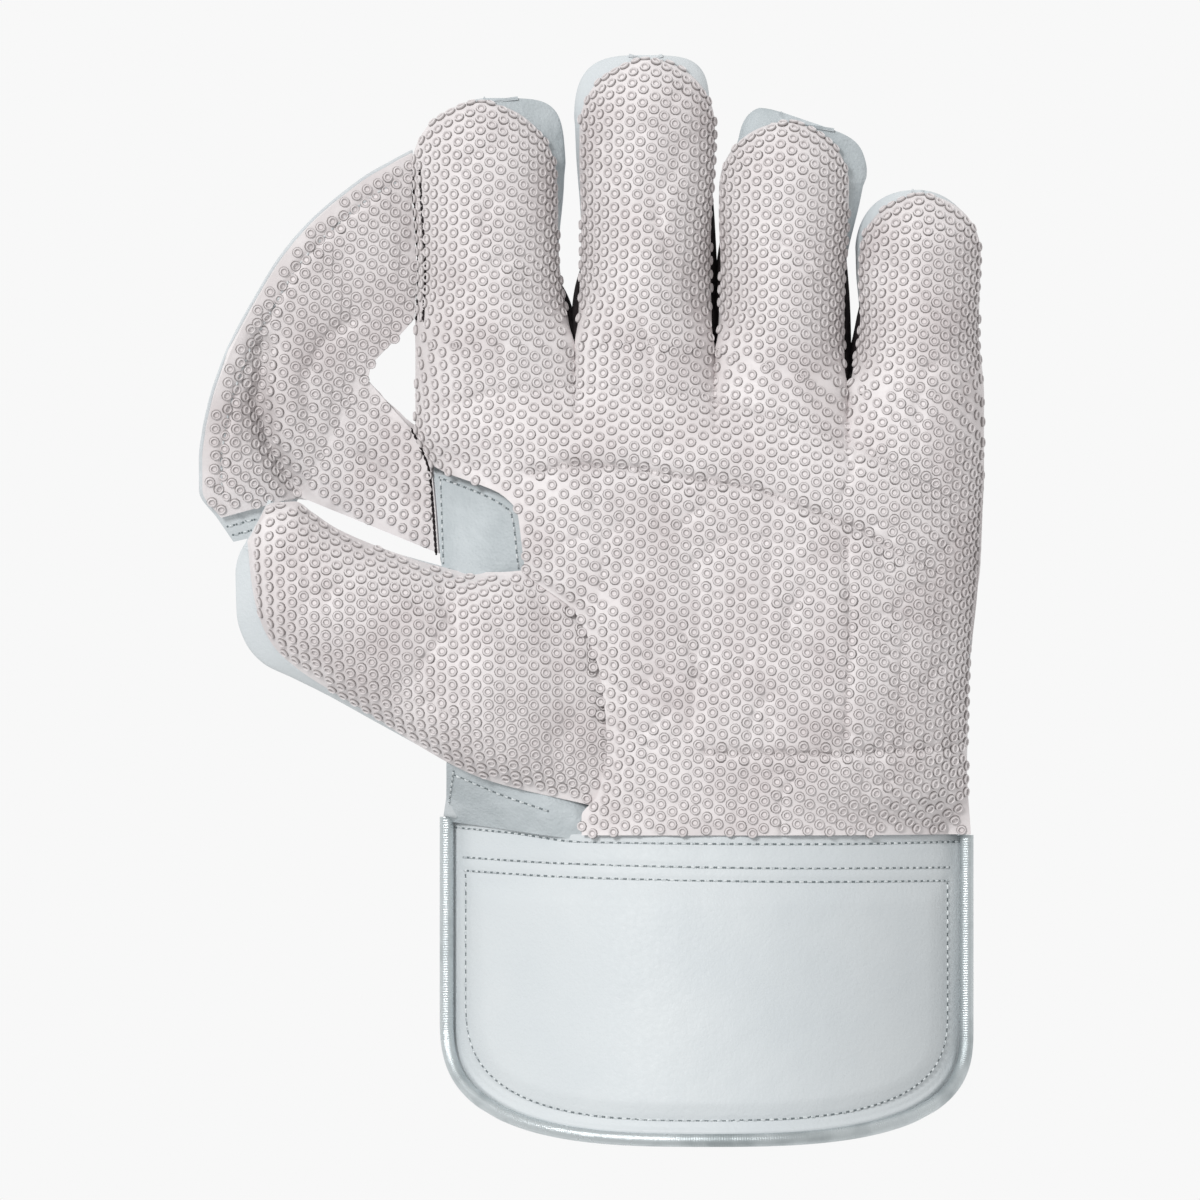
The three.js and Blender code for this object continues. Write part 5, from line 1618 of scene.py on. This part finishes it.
class GLOVE_OT_stage(bpy.types.Operator):
    """Sets the floor, the lights and the camera"""
    bl_idname = "glove.stage"
    bl_label = "Floor, Lights and Camera"

    def execute(self, context):
        scene = context.scene
        colours = scene.glove_colours
        half = 3.0
        corners = [(-half, -half, 0), (half, -half, 0), (half, half, 0), (-half, half, 0)]
        mesh = bpy.data.meshes.new("floor")
        mesh.from_pydata(corners, [], [(0, 1, 2, 3)])
        floor = placed("floor", mesh)
        made, tree = new_material("backlit_opal_acrylic")
        close_material(tree, Base_Color=(0, 0, 0, 1), Roughness=1.0, Specular_IOR_Level=0.0,
                       Emission_Color=(*colours.floor, 1), Emission_Strength=1.0)
        mesh.materials.append(made)
        world = bpy.data.worlds.new("studio")
        world.use_nodes = True
        sky = world.node_tree.nodes["Background"].inputs
        sky["Color"].default_value = (1, 1, 1, 1)
        sky["Strength"].default_value = 0.595
        scene.world = world
        lamp = bpy.data.lights.new("key", "SUN")
        lamp.energy = 1.88
        lamp.angle = math.radians(14)
        key = placed("key", lamp)
        key.rotation_euler = Vector((0.42, -0.4, -0.95)).to_track_quat("-Z", "Y").to_euler()
        key.location = (-0.6, 0.5, 0.8)
        camera = bpy.data.cameras.new("camera")
        camera.lens = 600
        camera.sensor_width = 36
        camera.clip_end = 20
        camera_object = placed("camera", camera)
        camera_object.location = (-0.0285, 0, 6.03)
        scene.camera = camera_object
        scene.view_settings.view_transform = "Standard"
        return {"FINISHED"}


class GLOVE_PT_panel(bpy.types.Panel):
    """Lists the glove's pieces, sizes and colours"""
    bl_label = "Wicketkeeping Glove"
    bl_idname = "GLOVE_PT_panel"
    bl_space_type = "VIEW_3D"
    bl_region_type = "UI"
    bl_category = "Glove"

    def draw(self, context):
        for group in (context.scene.glove_sizes, context.scene.glove_colours):
            for name in group.__annotations__:
                self.layout.prop(group, name)
        for operator in OPERATORS:
            self.layout.operator(operator.bl_idname)


OPERATORS = (GLOVE_OT_palm, GLOVE_OT_thumb, GLOVE_OT_web, GLOVE_OT_backs, GLOVE_OT_patches, GLOVE_OT_strips,
             GLOVE_OT_cuff, GLOVE_OT_stitching, GLOVE_OT_stage)
CLASSES = (GloveSizes, GloveColours, *OPERATORS, GLOVE_PT_panel)


def register():
    for cls in CLASSES:
        bpy.utils.register_class(cls)
    bpy.types.Scene.glove_sizes = PointerProperty(type=GloveSizes)
    bpy.types.Scene.glove_colours = PointerProperty(type=GloveColours)


def unregister():
    del bpy.types.Scene.glove_sizes
    del bpy.types.Scene.glove_colours
    for cls in reversed(CLASSES):
        bpy.utils.unregister_class(cls)


def main():
    register()
    for operator in OPERATORS:
        group, name = operator.bl_idname.split(".")
        getattr(getattr(bpy.ops, group), name)()


if __name__ == "__main__":
    main()
